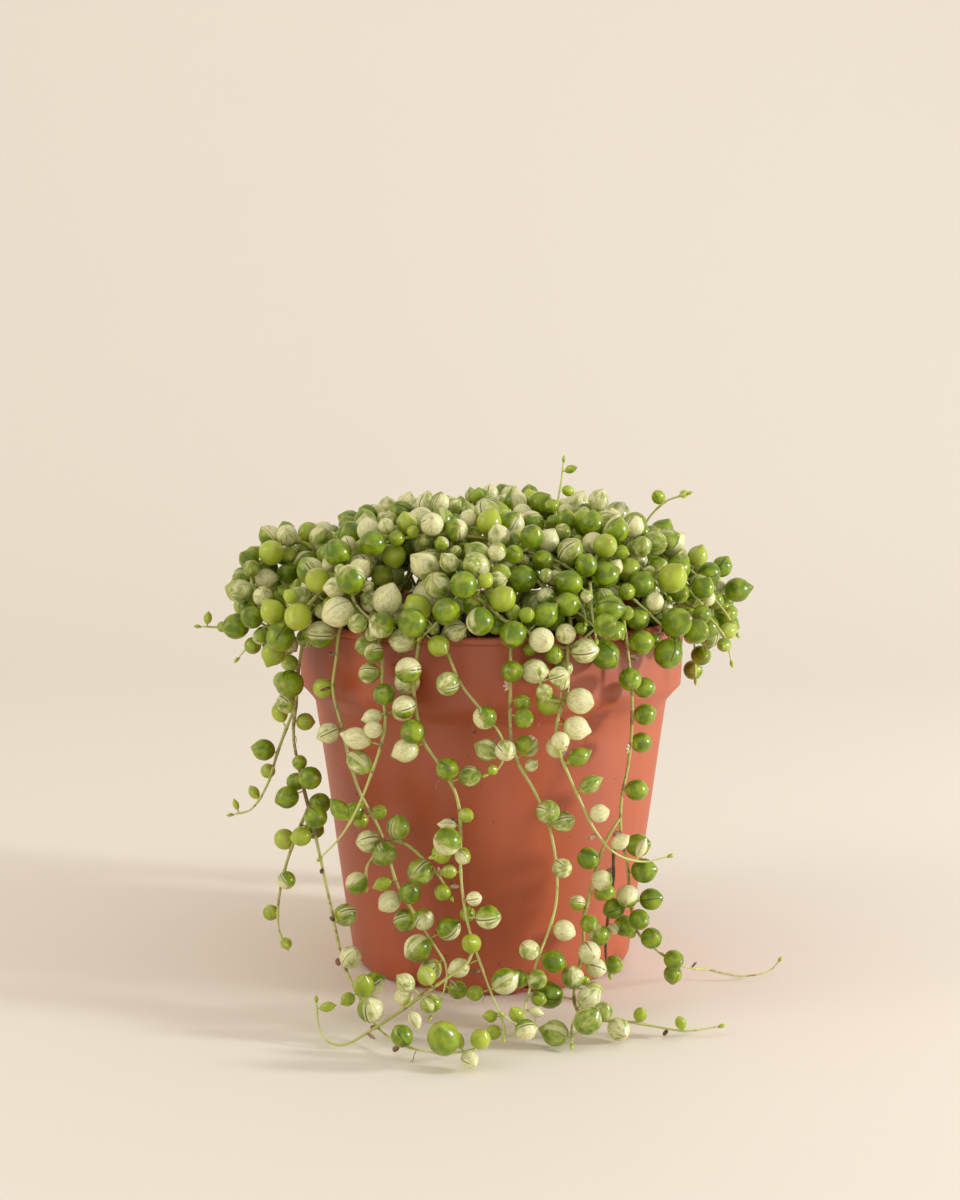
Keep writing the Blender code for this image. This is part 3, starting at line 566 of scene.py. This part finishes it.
def pearlMaterial():
    # The place attribute is the pearl's own unit ball, +Z to its tip and +X to its window slit.
    # The look attribute is cream share, seed, youth, and how far cream and green keep to two halves.
    material, tree, shader = newMaterial(
        "variegatedPearl", Roughness=pearlLook["roughness"], Subsurface_Weight=pearlLook["glow"],
        Subsurface_Radius=(0.8, 1.0, 0.35), Subsurface_Scale=0.0016, Specular_IOR_Level=0.5,
        Sheen_Weight=pearlLook["rim"], Sheen_Roughness=0.35, Sheen_Tint=(1.0, 0.95, 0.5, 1))
    place = setNode(tree, "ShaderNodeAttribute", attribute_name="place").outputs["Vector"]
    creamShare, seed, youth, halved = readLook(tree)
    axes = setNode(tree, "ShaderNodeSeparateXYZ")
    feed(tree, axes.inputs[0], place)
    x, y, z = axes.outputs
    shift = vectors(tree, "SCALE", (37.0, 91.0, 53.0))
    feed(tree, shift.node.inputs["Scale"], seed)
    around = vectors(tree, "NORMALIZE", vectors(tree, "MULTIPLY", place, (1, 1, 0)))
    rise = vectors(tree, "MULTIPLY", place, (0, 0, 0.55))
    along = vectors(tree, "ADD", vectors(tree, "ADD", around, rise), shift)
    streak = cloud(tree, along, 1.7, 5.0, 0.62, 0.35)
    fine = cloud(tree, along, 6.5, 3.0, 0.6)
    patch = cloud(tree, vectors(tree, "ADD", place, shift), 1.25, 2.0, 0.5, 0.4)
    pattern = sums(tree, "ADD", sums(tree, "MULTIPLY", streak, 0.6), sums(tree, "MULTIPLY", patch, 0.4))
    pattern = sums(tree, "ADD", pattern, sums(tree, "MULTIPLY", fine, 0.12))
    pattern = sums(tree, "SUBTRACT", pattern, 0.56)
    sides = sums(tree, "MULTIPLY", sums(tree, "MULTIPLY", y, 0.45), halved)
    share = sums(tree, "MULTIPLY", sums(tree, "SUBTRACT", creamShare, 0.5), 0.85)
    value = sums(tree, "ADD", sums(tree, "ADD", pattern, sides), share)
    green = blend(tree, fade(tree, patch, 0.35, 0.68), pearlLook["deep"], pearlLook["fresh"])
    green = blend(tree, sums(tree, "MULTIPLY", youth, 0.85), green, pearlLook["young"])
    veiled = blend(tree, fade(tree, value, -0.16, 0.0, 0, 0.85), green, pearlLook["veil"])
    cream = blend(tree, fade(tree, fine, 0.4, 0.68, 0, 0.5), pearlLook["cream"], pearlLook["veil"])
    colour = blend(tree, fade(tree, value, -0.02, 0.13), veiled, cream)
    # The window slit runs from stalk to tip, with a pale border on the mottled ones.
    aside = sums(tree, "ABSOLUTE", y)
    facing = fade(tree, x, 0.0, 0.12)
    within = sums(tree, "MULTIPLY", facing, fade(tree, sums(tree, "ABSOLUTE", z), 0.72, 0.9, 1, 0))
    border = sums(tree, "MULTIPLY", within, fade(tree, aside, 0.09, 0.3, 0.7, 0))
    border = sums(tree, "MULTIPLY", border, fade(tree, creamShare, 0.15, 0.5))
    colour = blend(tree, border, colour, pearlLook["cream"])
    slit = sums(tree, "MULTIPLY", within, fade(tree, aside, 0.035, 0.085, 0.85, 0))
    slit = sums(tree, "MULTIPLY", slit, fade(tree, sums(tree, "ADD", seed, youth), 0.55, 0.62, 1, 0.15))
    colour = blend(tree, slit, colour, pearlLook["slit"])
    colour = blend(tree, fade(tree, z, 0.93, 1.0, 0, 0.8), colour, pearlLook["tip"])
    colour = blend(tree, fade(tree, z, -0.8, -0.98, 0, 0.8), colour, pearlLook["young"])
    feed(tree, shader.inputs["Base Color"], colour)
    relief = sums(tree, "SUBTRACT", sums(tree, "MULTIPLY", patch, 0.5), slit)
    bumps(tree, shader, relief, 0.25, 0.0004)
    return material


stemLook = {
    "young": (0.56, 0.60, 0.20), "grown": (0.38, 0.38, 0.085), "scurf": (0.22, 0.105, 0.035),
    "old": (0.09, 0.055, 0.03), "roughness": 0.45,
}


def stemMaterial():
    # The look attribute's first value is age, and its third is how far along the shoot.
    material, tree, shader = newMaterial(
        "trailingStem", Roughness=stemLook["roughness"], Subsurface_Weight=0.12, Subsurface_Scale=0.001)
    look = readLook(tree)
    age, along = look[0], look[2]
    place = objectPlace(tree)
    colour = blend(tree, fade(tree, along, 0.3, 1.0), stemLook["grown"], stemLook["young"])
    broad = cloud(tree, place, 120.0, 3.0, 0.6)
    colour = blend(tree, fade(tree, broad, 0.35, 0.65, 0, 0.35), colour, stemLook["young"])
    small = cloud(tree, place, 420.0, 3.0, 0.6)
    spots = fade(tree, sums(tree, "ADD", small, sums(tree, "MULTIPLY", age, 0.35)), 0.6, 0.72, 0, 0.75)
    colour = blend(tree, spots, colour, stemLook["scurf"])
    colour = blend(tree, fade(tree, age, 0.4, 1.0, 0, 0.8), colour, stemLook["old"])
    feed(tree, shader.inputs["Base Color"], colour)
    bumps(tree, shader, small, 0.4, 0.0003)
    return material


driedLook = {
    "dark": (0.05, 0.024, 0.012), "brown": (0.30, 0.15, 0.07), "straw": (0.58, 0.40, 0.24),
    "pink": (0.72, 0.52, 0.40), "roughness": 0.75,
}


def driedMaterial():
    # The look attribute's first value is how pale the piece is: 0 dark brown, 1 a pinkish bud.
    material, tree, shader = newMaterial("driedLeaf", Roughness=driedLook["roughness"])
    place = objectPlace(tree)
    blotch = fade(tree, cloud(tree, place, 700.0, 4.0), 0.35, 0.65)
    dark = blend(tree, blotch, driedLook["dark"], driedLook["brown"])
    light = blend(tree, blotch, driedLook["straw"], driedLook["pink"])
    feed(tree, shader.inputs["Base Color"], blend(tree, readLook(tree)[0], dark, light))
    bumps(tree, shader, cloud(tree, place, 900.0, 3.0), 0.8, 0.0004)
    return material


def plasticMaterial():
    # Thin moulded plastic: drawn flow marks, a cloudy sheen, a few scuffs and specks of dust.
    material, tree, shader = newMaterial(
        "terracottaPlastic", Subsurface_Weight=0.05, Subsurface_Scale=0.002, Specular_IOR_Level=0.85)
    place = objectPlace(tree)
    drawn = cloud(tree, vectors(tree, "MULTIPLY", place, (1, 1, 0.12)), 60.0, 4.0, 0.6)
    broad = cloud(tree, place, 14.0, 3.0, 0.5)
    shade = sums(tree, "ADD", sums(tree, "MULTIPLY", drawn, 0.5), sums(tree, "MULTIPLY", broad, 0.5))
    colour = blend(tree, fade(tree, shade, 0.36, 0.64), pot["deepColour"], pot["colour"])
    scratch = cloud(tree, vectors(tree, "MULTIPLY", place, (1, 1, 0.05)), 420.0, 2.0, 0.5)
    colour = blend(tree, fade(tree, scratch, 0.74, 0.8, 0, 0.3), colour, pot["scuff"])
    specks = cloud(tree, place, 520.0, 0.0)
    colour = blend(tree, fade(tree, specks, 0.835, 0.86, 0, 0.8), colour, pot["speck"])
    feed(tree, shader.inputs["Base Color"], colour)
    sheen = fade(tree, broad, 0.3, 0.7, pot["roughness"] - 0.06, pot["roughness"] + 0.08)
    feed(tree, shader.inputs["Roughness"], sheen)
    relief = sums(tree, "ADD", cloud(tree, place, 45.0, 2.0), sums(tree, "MULTIPLY", drawn, 0.3))
    bumps(tree, shader, relief, 0.12, 0.0008)
    return material


def compostMaterial():
    material, tree, shader = newMaterial("compostPeat", Roughness=0.95)
    place = objectPlace(tree)
    grains = cloud(tree, place, 380.0, 6.0, 0.7)
    fibres = cloud(tree, vectors(tree, "MULTIPLY", place, (1, 0.2, 1)), 700.0, 3.0)
    colour = blend(tree, fade(tree, grains, 0.35, 0.7), soil["dark"], soil["light"])
    colour = blend(tree, fade(tree, fibres, 0.64, 0.72, 0, 0.6), colour, soil["fibre"])
    feed(tree, shader.inputs["Base Color"], colour)
    bumps(tree, shader, grains, 1.0, 0.0012)
    return material


def addObject(name, data):
    fresh = bpy.data.objects.new(name, data)
    bpy.context.scene.collection.objects.link(fresh)
    return fresh


def addBody(name, shape, materials, smooth=True):
    # Turns a finished bmesh into an object.
    mesh = bpy.data.meshes.new(name)
    for face in shape.faces:
        face.smooth = smooth
    shape.to_mesh(mesh)
    shape.free()
    for material in materials:
        mesh.materials.append(material)
    return addObject(name, mesh)


def newPiece(name, shape, materials, stands):
    # Turns a finished bmesh into a piece that stands for a CAD node.
    piece = addBody(name, shape, materials)
    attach(piece, "root")
    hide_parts(stands)
    return piece


def spinProfile(shape, profile, steps):
    # Turns a profile of radius and height, run down its outer side, into a closed body.
    corners = [bmesh.ops.create_vert(shape, co=Vector((r, 0, z)) * mm)["vert"][0] for r, z in profile]
    edges = [shape.edges.new(pair) for pair in zip(corners, corners[1:])]
    bmesh.ops.spin(shape, geom=corners + edges, cent=(0, 0, 0), axis=(0, 0, 1), angle=2 * math.pi,
                   steps=steps, use_merge=True)
    bmesh.ops.remove_doubles(shape, verts=shape.verts, dist=0.00001)
    bmesh.ops.recalc_face_normals(shape, faces=shape.faces)


def potProfile():
    # The pot's outline as radius and height: up the inside, over the rolled lip and down the outside.
    wall, corner = pot["wall"], pot["baseCorner"]
    shoulder = pot["collarBottom"] - pot["shoulderDrop"]
    lip = pot["rimRadius"] + pot["lipProud"]
    top, low = pot["height"], pot["height"] - pot["lipHeight"]
    profile = [(0, wall), (pot["baseRadius"] - corner, wall)]
    for k in range(1, 7):
        z = wall + (shoulder - wall) * k / 6
        profile.append((wallRadius(z) - wall - (0.6 if k == 6 else 0.2), z))
    profile += [(wallRadius(pot["collarBottom"]) - wall, pot["collarBottom"] + 0.8),
                (pot["rimRadius"] - wall - 0.2, low - 2), (pot["rimRadius"] - wall, top - 0.6)]
    for k in range(7):  # the rolled lip
        turn = math.pi * (0.5 - k / 6)
        profile.append((lip - 0.9 + 0.9 * math.cos(turn), top - 0.9 + 0.9 * math.sin(turn) - (k > 3) * 0.7))
    profile += [(lip - 0.75, low + 0.25), (wallRadius(low) + 0.1, low - 0.2), (wallRadius(low - 1), low - 1)]
    for k in range(1, 6):
        z = low - 1 + (pot["collarBottom"] + 1 - low + 1) * k / 6
        profile.append((wallRadius(z), z))
    for k in range(5):  # the rounded chamfer under the collar
        z = pot["collarBottom"] + 1 - (pot["shoulderDrop"] + 2) * k / 4
        profile.append((wallRadius(z) - (0.25 if k == 1 else 0) + (0.2 if k == 3 else 0), z))
    for k in range(1, 12):
        z = shoulder - 1 + (corner - shoulder + 1) * k / 11
        profile.append((wallRadius(z), z))
    for k in range(1, 6):
        turn = math.pi / 2 * k / 5
        profile.append((pot["baseRadius"] - corner * (1 - math.cos(turn)), corner * (1 - math.sin(turn))))
    return profile + [(30, 0), (0, 0)]


def notchCutter():
    # Rounded blocks round the foot that cut the drain notches.
    blocks = bmesh.new()
    for k in range(pot["notches"]):
        turn = math.radians(pot["notchTurn"]) + 2 * math.pi * k / pot["notches"]
        block = bmesh.ops.create_cube(blocks, size=1)["verts"]
        bmesh.ops.scale(blocks, verts=block, vec=Vector((9, pot["notchWidth"], 2 * pot["notchHeight"])) * mm)
        edges = list({edge for vert in block for edge in vert.link_edges})
        rim = [edge for edge in edges if abs(edge.verts[0].co.x - edge.verts[1].co.x) > 0.001]
        fresh = bmesh.ops.bevel(
            blocks, geom=rim, offset=0.0009, affect="EDGES", segments=3, profile=0.5, material=-1)
        block = list(set(v for v in block if v.is_valid) | set(fresh["verts"]))
        bmesh.ops.translate(blocks, verts=block, vec=Vector((pot["baseRadius"] + 1.5, 0, 0)) * mm)
        bmesh.ops.rotate(blocks, verts=block, cent=(0, 0, 0), matrix=Matrix.Rotation(turn, 3, "Z"))
    return addBody("notchBlocks", blocks, (), smooth=False)


def makePot(material):
    shape = bmesh.new()
    spinProfile(shape, potProfile(), pot["steps"])
    for vert in shape.verts:  # a hand-warm softness in the thin wall
        side = Vector((vert.co.x, vert.co.y, 0))
        if vert.co.z > 0.012 and side.length > 0.03:
            vert.co += side.normalized() * 0.00035 * noise.noise(vert.co * 28)
    piece = newPiece("potShell", shape, [material], "nursery_pot")
    cutter = notchCutter()
    cut = piece.modifiers.new("drainNotches", "BOOLEAN")
    cut.operation = "DIFFERENCE"
    cut.object = cutter
    bpy.context.view_layer.update()
    piece.data = bpy.data.meshes.new_from_object(piece.evaluated_get(bpy.context.evaluated_depsgraph_get()))
    piece.modifiers.clear()
    bpy.data.objects.remove(cutter)
    return piece


def makeSoil(material):
    # The root ball, heaped and rough on top, with crumbs of peat lying on it.
    rng = random.Random(soil["seed"])
    wall = pot["wall"] + 0.3
    shoulder = pot["collarBottom"] - pot["shoulderDrop"]
    edge = wallRadius(soil["edge"]) - wall - 0.3
    profile = [(edge * k / 34, soilHeight(edge * k / 34)) for k in range(35)]
    profile += [(edge - 0.2, soil["edge"] - 6),
                (wallRadius(pot["collarBottom"]) - wall - 0.4, pot["collarBottom"] + 1.5),
                (pot["shoulderRadius"] - wall - 1.2, shoulder), (pot["baseRadius"] - wall - 1, 4.5), (0, 2)]
    shape = bmesh.new()
    spinProfile(shape, profile, 110)
    for vert in shape.verts:
        across = math.hypot(vert.co.x, vert.co.y)
        if vert.co.z > (soil["edge"] - 1) * mm and across < (edge - 1.5) * mm:
            rough = noise.fractal(vert.co * 260, 1.0, 2.0, 4) + 0.6 * noise.noise(vert.co * 90)
            vert.co.z += max(-0.0018, min(0.0012, 0.0011 * rough)) - 0.0005
    for k in range(soil["crumbs"]):
        turn, across = rng.uniform(0, 2 * math.pi), (edge - 2) * math.sqrt(rng.random())
        size = rng.choice((0.5, 0.6, 0.8, 1.1, 1.5))
        lift = soilHeight(across) + 0.2 * size - 0.3
        spot = Vector((across * math.cos(turn), across * math.sin(turn), lift)) * mm
        facing = Matrix.Rotation(rng.uniform(0, 3), 4, "Z") @ Matrix.Rotation(rng.uniform(0, 3), 4, "X")
        wide, tall = rng.uniform(0.5, 1.4), rng.uniform(0.4, 0.9)
        form = Matrix.Diagonal((size * mm, size * mm * wide, size * mm * tall, 1))
        place = Matrix.Translation(spot) @ facing @ form
        crumb = bmesh.ops.create_icosphere(shape, subdivisions=1, radius=1, matrix=place)["verts"]
        for vert in crumb:
            vert.co += noise.noise_vector(vert.co * 900) * size * 0.00035
    return newPiece("compostHeap", shape, [material], "compost")


def growTube(shape, line, radii, sides, index):
    # A closed tube along a line of points, one ring for each, in the material of that index.
    last = len(line) - 1
    tangents = [(line[min(k + 1, last)] - line[max(k - 1, 0)]).normalized() for k in range(len(line))]
    facing = tangents[0].to_track_quat("Z", "Y").to_matrix().to_4x4()
    ring = bmesh.ops.create_circle(shape, cap_ends=True, radius=radii[0] * mm, segments=sides,
                                   matrix=Matrix.Translation(line[0] * mm) @ facing)["verts"]
    cap = ring[0].link_faces[0]
    edges, walls, rings = list(cap.edges), [cap], [ring]
    for k in range(1, len(line)):
        made = bmesh.ops.extrude_edge_only(shape, edges=edges)["geom"]
        ring = [item for item in made if isinstance(item, bmesh.types.BMVert)]
        edges = [item for item in made if isinstance(item, bmesh.types.BMEdge)
                 and all(v in ring for v in item.verts)]
        walls += [item for item in made if isinstance(item, bmesh.types.BMFace)]
        bmesh.ops.translate(shape, verts=ring, vec=(line[k] - line[k - 1]) * mm)
        turn = tangents[k - 1].rotation_difference(tangents[k]).to_matrix()
        bmesh.ops.rotate(shape, verts=ring, cent=line[k] * mm, matrix=turn)
        size = radii[k] / radii[k - 1]
        bmesh.ops.scale(shape, verts=ring, vec=(size, size, size), space=Matrix.Translation(-line[k] * mm))
        rings.append(ring)
    walls += bmesh.ops.edgeloop_fill(shape, edges=edges)["faces"]
    for face in walls:
        face.material_index = index
    bmesh.ops.recalc_face_normals(shape, faces=walls)
    return rings


def leafTurn(centre, aim, normal, rng):
    # The pearl's own frame: Z to its tip, X to its window, which mostly looks up and outwards.
    wish = normal * 0.7 + Vector((0, -0.35, 0.5)) + Vector([rng.uniform(-1, 1) for k in range(3)])
    window = (wish - aim * wish.dot(aim)).normalized()
    turned = Matrix((window, aim.cross(window), aim)).transposed().to_4x4()
    return Matrix.Translation(centre * mm) @ turned


def addPearl(shape, layers, turned, radius, stretch, look, youthful):
    # One leaf: a ball drawn to a point at its tip and pinched a little where its stalk joins.
    placeLayer, lookLayer = layers
    ball = bmesh.ops.create_uvsphere(shape, u_segments=plant["pearlSegments"], v_segments=plant["pearlRings"],
                                     radius=1)["verts"]
    radius *= plant["fullness"]
    point = 0.3 if youthful else 0.14 + 0.26 * look[1] ** 2
    for vert in ball:
        local = vert.co.copy()
        vert[placeLayer] = local
        vert[lookLayer] = look
        if stretch > 1.05 and look[2] > 0.0:
            pinch = 1 - 0.32 * min(1, abs(local.z)) ** 2.2
        else:
            pinch = 1 - 0.05 * max(0, local.z) ** 3
        if local.z > 0.97:
            local.z += point
        elif local.z > 0.85:
            pinch *= 0.8
        local.x *= pinch
        local.y *= pinch
        local.z *= stretch
        vert.co = local * radius * mm
    bmesh.ops.transform(shape, verts=ball, matrix=turned)


def addStalk(shape, lookLayer, foot, throat, along):
    # The short stalk that joins a leaf to its stem.
    reach = throat - foot
    place = Matrix.Translation((foot + throat) / 2 * mm) @ reach.to_track_quat("Z", "Y").to_matrix().to_4x4()
    stalk = bmesh.ops.create_cone(shape, cap_ends=True, segments=5, radius1=0.00042, radius2=0.0003,
                                  depth=reach.length * mm, matrix=place)["verts"]
    for vert in stalk:
        vert[lookLayer] = (0.0, 0.3, along, 0.0)
    for face in {face for vert in stalk for face in vert.link_faces}:
        face.material_index = 1


# How much of a leaf of each tone is cream, lowest and highest.
creamShares = {"g": (0.0, 0.14), "h": (0.42, 0.52), "m": (0.35, 0.64), "c": (0.84, 1.02), "y": (0.12, 0.35)}

# How old each stem's shoots look, from 0 fresh to 1 dark and warty, and whose tips have browned.
stemAges = {"trailing_stem_green_right": (0.25, 0.1, 1.0, 0.3), "trailing_stem_left_outer": (0.3, 0.1, 0.1)}
brownedTips = {"trailing_stem_brown_tip": 0.6}

# What has withered on the trailing stems: shoot, how far along it, side and kind.
withered = {
    "trailing_stem_left_outer": [(0, 0.3, "r", "root"), (0, 0.52, "R", "husk"), (0, 0.595, "R", "husk"),
                                 (0, 0.66, "l", "cup"), (0, 0.8, "L", "husk"), (0, 0.86, "l", "husk"),
                                 (0, 0.9, "l", "root"), (0, 0.945, "L", "husk"), (0, 0.97, "l", "husk")],
    "trailing_stem_inner_left": [(0, 0.19, "l", "root"), (0, 0.2, "l", "husk"), (0, 0.265, "L", "husk"),
                                 (0, 0.35, "l", "husk"), (0, 0.37, "l", "root"), (0, 0.63, "l", "husk"),
                                 (2, 0.1, "f", "husk"), (1, 0.75, "r", "bud"), (0, 0.9, "R", "root")],
    "trailing_stem_mottled": [(0, 0.45, "l", "root"), (0, 0.55, "l", "husk"), (0, 0.67, "l", "husk"),
                              (0, 0.83, "l", "husk"), (0, 0.87, "L", "root"), (0, 0.92, "l", "husk"),
                              (1, 0.2, "r", "husk"), (1, 0.62, "r", "husk")],
    "trailing_stem_brown_tip": [(0, 0.8, "l", "root"), (0, 0.99, "l", "husk")],
    "trailing_stem_centre": [(0, 0.285, "l", "bud"), (0, 0.63, "R", "husk"), (0, 0.84, "r", "husk"),
                             (0, 0.9, "r", "root"), (0, 0.93, "R", "root")],
    "trailing_stem_white": [(0, 0.4, "R", "husk"), (0, 0.45, "r", "root"), (0, 0.78, "l", "husk")],
    "trailing_stem_green_right": [(0, 0.185, "r", "root"), (0, 0.19, "r", "husk"), (0, 0.34, "l", "bud"),
                                  (0, 0.47, "l", "husk"), (2, 0.3, "l", "husk"), (2, 0.5, "l", "root"),
                                  (0, 0.8, "f", "husk"), (1, 0.86, "l", "husk")],
}


def addWithered(shape, lookLayer, line, along, side, kind, rng):
    # A dried leaf, an aerial root or a cluster of small buds where it stands on its stem.
    at, normal, right, course = leafFrame(line, round(along * (len(line) - 1)))
    way = math.radians(leafSides[side])
    aim = (normal * math.cos(way) + right * math.sin(way)).normalized()
    made = []
    if kind == "root":
        spots = []
        for k in range(7):
            spot = at + aim * (0.3 + 0.5 * k) + Vector((rng.uniform(-0.3, 0.3), 0, -0.16 * k ** 1.7))
            spots.append(Vector((spot.x, spot.y, max(0.3, spot.z))))
        rings = growTube(shape, spots, [0.2 - 0.018 * k for k in range(7)], 5, 2)
        made = [vert for ring in rings for vert in ring]
    for k in range({"root": 0, "husk": 1, "cup": 1, "bud": 3}[kind]):
        lean = (aim + course * (0.8 * k - 0.8 if kind == "bud" else rng.uniform(-0.4, 0.4))).normalized()
        size = {"husk": rng.uniform(0.75, 1.1), "cup": 1.35, "bud": 0.5}[kind]
        ball = bmesh.ops.create_uvsphere(shape, u_segments=8, v_segments=6, radius=1)["verts"]
        for vert in ball:
            local = vert.co * (1 + (0 if kind == "bud" else rng.uniform(-0.22, 0.22)))
            if kind == "cup" and local.z > 0.1:
                local.z = 0.2 - 0.9 * local.z
            if kind == "husk":
                local.x *= 0.5
            if kind != "cup":
                local.z *= 1.6
            vert.co = local * size * mm
        centre = at + lean * (plant["stemRadius"] + size * (1.2 if kind == "cup" else 1.5))
        centre.z = max(centre.z, size * 0.9)
        bmesh.ops.transform(shape, verts=ball, matrix=leafTurn(centre, lean, outward(at), rng))
        made += ball
    pale = 1.0 if kind == "bud" else rng.uniform(0.0, 0.35)
    for vert in made:
        vert[lookLayer] = (pale, rng.random(), 0.0, 0.0)
    for face in {face for vert in made for face in vert.link_faces}:
        face.material_index = 2


def makeStrand(name, shoots, leaves, materials):
    rng = random.Random(name + str(plant["lookSeed"]))
    shape = bmesh.new()
    placeLayer = shape.verts.layers.float_vector.new("place")
    lookLayer = shape.verts.layers.float_color.new("look")
    layers = (placeLayer, lookLayer)
    own = [leaf for leaf in leaves if leaf[0] == name]
    lines = [line for owner, line, words in shoots if owner == name]
    ages = stemAges.get(name, (0.0,) * len(lines))
    for line, age in zip(lines, ages):
        count = max(3, round(len(line) / plant["stemStep"]))
        middle = [line[round(k * (len(line) - 1) / count)] for k in range(count + 1)]
        knots = [leaf[1] for leaf in own]
        radii = []
        for k, spot in enumerate(middle):
            slim = 1 - (1 - plant["tipRadius"] / plant["stemRadius"]) * (k / count) ** 3
            swell = 0.22 if any((knot - spot).length_squared < 1.2 for knot in knots) else 0
            wart = rng.uniform(0, 0.4) if age > 0.8 else 0
            radii.append(plant["stemRadius"] * (slim + swell + wart - 0.06))
        rings = growTube(shape, middle, radii, plant["stemSides"], 1)
        for k, ring in enumerate(rings):
            knotty = 0.3 if radii[k] > plant["stemRadius"] else 0
            browned = brownedTips.get(name, 0) if k > 0.93 * count else 0
            for vert in ring:
                vert[lookLayer] = (min(1, age + knotty + browned), rng.random(), k / count, 0)
        tip, aim = middle[-1], (middle[-1] - middle[-2]).normalized()
        for k in range(2):  # the folded growing point
            lean = (aim + Vector((0, 0, 0.5 * k))).normalized()
            turned = leafTurn(tip + aim * (0.9 - 0.5 * k), lean, aim.orthogonal(), rng)
            addPearl(shape, layers, turned, 0.62 - 0.14 * k, 1.7, (0.2, rng.random(), 0.8, 0), True)
    for owner, at, centre, aim, radius, stretch, tone in own:
        low, high = creamShares[tone]
        cream = rng.uniform(low, high)
        youth = {"y": rng.uniform(0.5, 0.95), "c": 0.25}.get(tone, max(0, (6.2 - 2 * radius) / 5))
        half = rng.uniform(0.75, 1.0) * rng.choice((-1, 1)) if tone == "h" else 0.0
        seed = rng.random()
        if stretch > 1.05 and tone not in "cy":
            youth = max(youth, 0.15)
        look = (cream, seed, youth, abs(half))
        turned = leafTurn(centre, aim, outward(at), rng)
        addPearl(shape, layers, turned, radius, stretch, look, stretch > 1.28)
        addStalk(shape, lookLayer, at, centre - aim * radius * stretch * 0.9, 0.6)
    for number, along, side, kind in withered.get(name, ()):
        addWithered(shape, lookLayer, lines[number], along, side, kind, rng)
    title = "strand" + "".join(word.capitalize() for word in name.split("_"))
    piece = newPiece(title, shape, materials, name)
    smooth = piece.modifiers.new("roundness", "SUBSURF")
    smooth.levels = 1
    smooth.render_levels = 1
    return piece


# The paper sweep and the camera, in metres and degrees.
sweep = {
    "width": 6.0, "front": -2.2, "back": 0.55, "bend": 0.9, "top": 3.2,
    "colour": (0.86, 0.80, 0.70), "roughness": 0.65,
}

view = {"place": (-0.0035, -0.5747, 0.1814), "tilt": 6.74, "lens": 55.5, "sensor": 36}


def makeStage():
    # Pale seamless sweep: floor, curve and backdrop.
    shape = bmesh.new()
    left = -sweep["width"] / 2
    points = [Vector((left, sweep["front"], 0))]
    for k in range(13):
        turn = math.pi / 2 * k / 12
        rise = sweep["bend"] * (1 - math.cos(turn))
        points.append(Vector((left, sweep["back"] + sweep["bend"] * math.sin(turn), rise)))
    points.append(Vector((left, points[-1].y, sweep["top"])))
    corners = [bmesh.ops.create_vert(shape, co=point)["vert"][0] for point in points]
    edges = [shape.edges.new(pair) for pair in zip(corners, corners[1:])]
    sheet = bmesh.ops.extrude_edge_only(shape, edges=edges)["geom"]
    far = [item for item in sheet if isinstance(item, bmesh.types.BMVert)]
    bmesh.ops.translate(shape, verts=far, vec=(sweep["width"], 0, 0))
    bmesh.ops.recalc_face_normals(shape, faces=shape.faces)
    paper = newMaterial("creamPaper", Roughness=sweep["roughness"], Base_Color=(*sweep["colour"], 1))[0]
    addBody("sweep", shape, (paper,))


lights = {
    "key": {"azimuth": 77, "height": 13, "away": 1.25, "size": 0.17, "power": 11.4, "colour": (1, 1.03, 1.06)},
    "fill": {"azimuth": -70, "height": 25, "away": 1.6, "size": 0.9, "power": 5.4, "colour": (1, 0.95, 0.7)},
    "glint": {"azimuth": -4, "height": 16, "away": 1.5, "size": 0.16, "power": 0.6, "colour": (1, 1, 1)},
}

surround = {"colour": (1.0, 0.945, 0.92), "strength": 0.755}


def makeLights():
    for name, plan in lights.items():
        turn, lift = math.radians(plan["azimuth"]), math.radians(plan["height"])
        way = Vector((math.sin(turn) * math.cos(lift), -math.cos(turn) * math.cos(lift), math.sin(lift)))
        lamp = bpy.data.lights.new(name, "AREA")
        lamp.shape = "DISK"
        lamp.size = plan["size"]
        lamp.energy = plan["power"]
        lamp.color = plan["colour"]
        holder = addObject(name, lamp)
        holder.location = Vector((0, 0, 0.07)) + way * plan["away"]
        holder.rotation_euler = way.to_track_quat("Z", "Y").to_euler()
    world = bpy.data.worlds.new("studio")
    world.use_nodes = True
    glow = world.node_tree.nodes["Background"]
    glow.inputs["Color"].default_value = (*surround["colour"], 1)
    glow.inputs["Strength"].default_value = surround["strength"]
    bpy.context.scene.world = world


def makeCamera():
    lens = bpy.data.cameras.new("view")
    lens.lens = view["lens"]
    lens.sensor_width = view["sensor"]
    camera = addObject("view", lens)
    camera.location = view["place"]
    camera.rotation_euler = (math.radians(90 - view["tilt"]), 0, 0)
    bpy.context.scene.camera = camera
    bpy.context.scene.view_settings.view_transform = "Standard"


makePot(plasticMaterial())
makeSoil(compostMaterial())
print("pot and compost made")
space = Space()
shoots = layStems(space)
leaves = growLeaves(space, shoots)
strandMaterials = [pearlMaterial(), stemMaterial(), driedMaterial()]
for name in dict.fromkeys(owner for owner, line, words in shoots):
    makeStrand(name, shoots, leaves, strandMaterials)
print(len(leaves), "pearls on", len(shoots), "shoots")
makeStage()
makeLights()
makeCamera()
print("stage, lights and camera set")
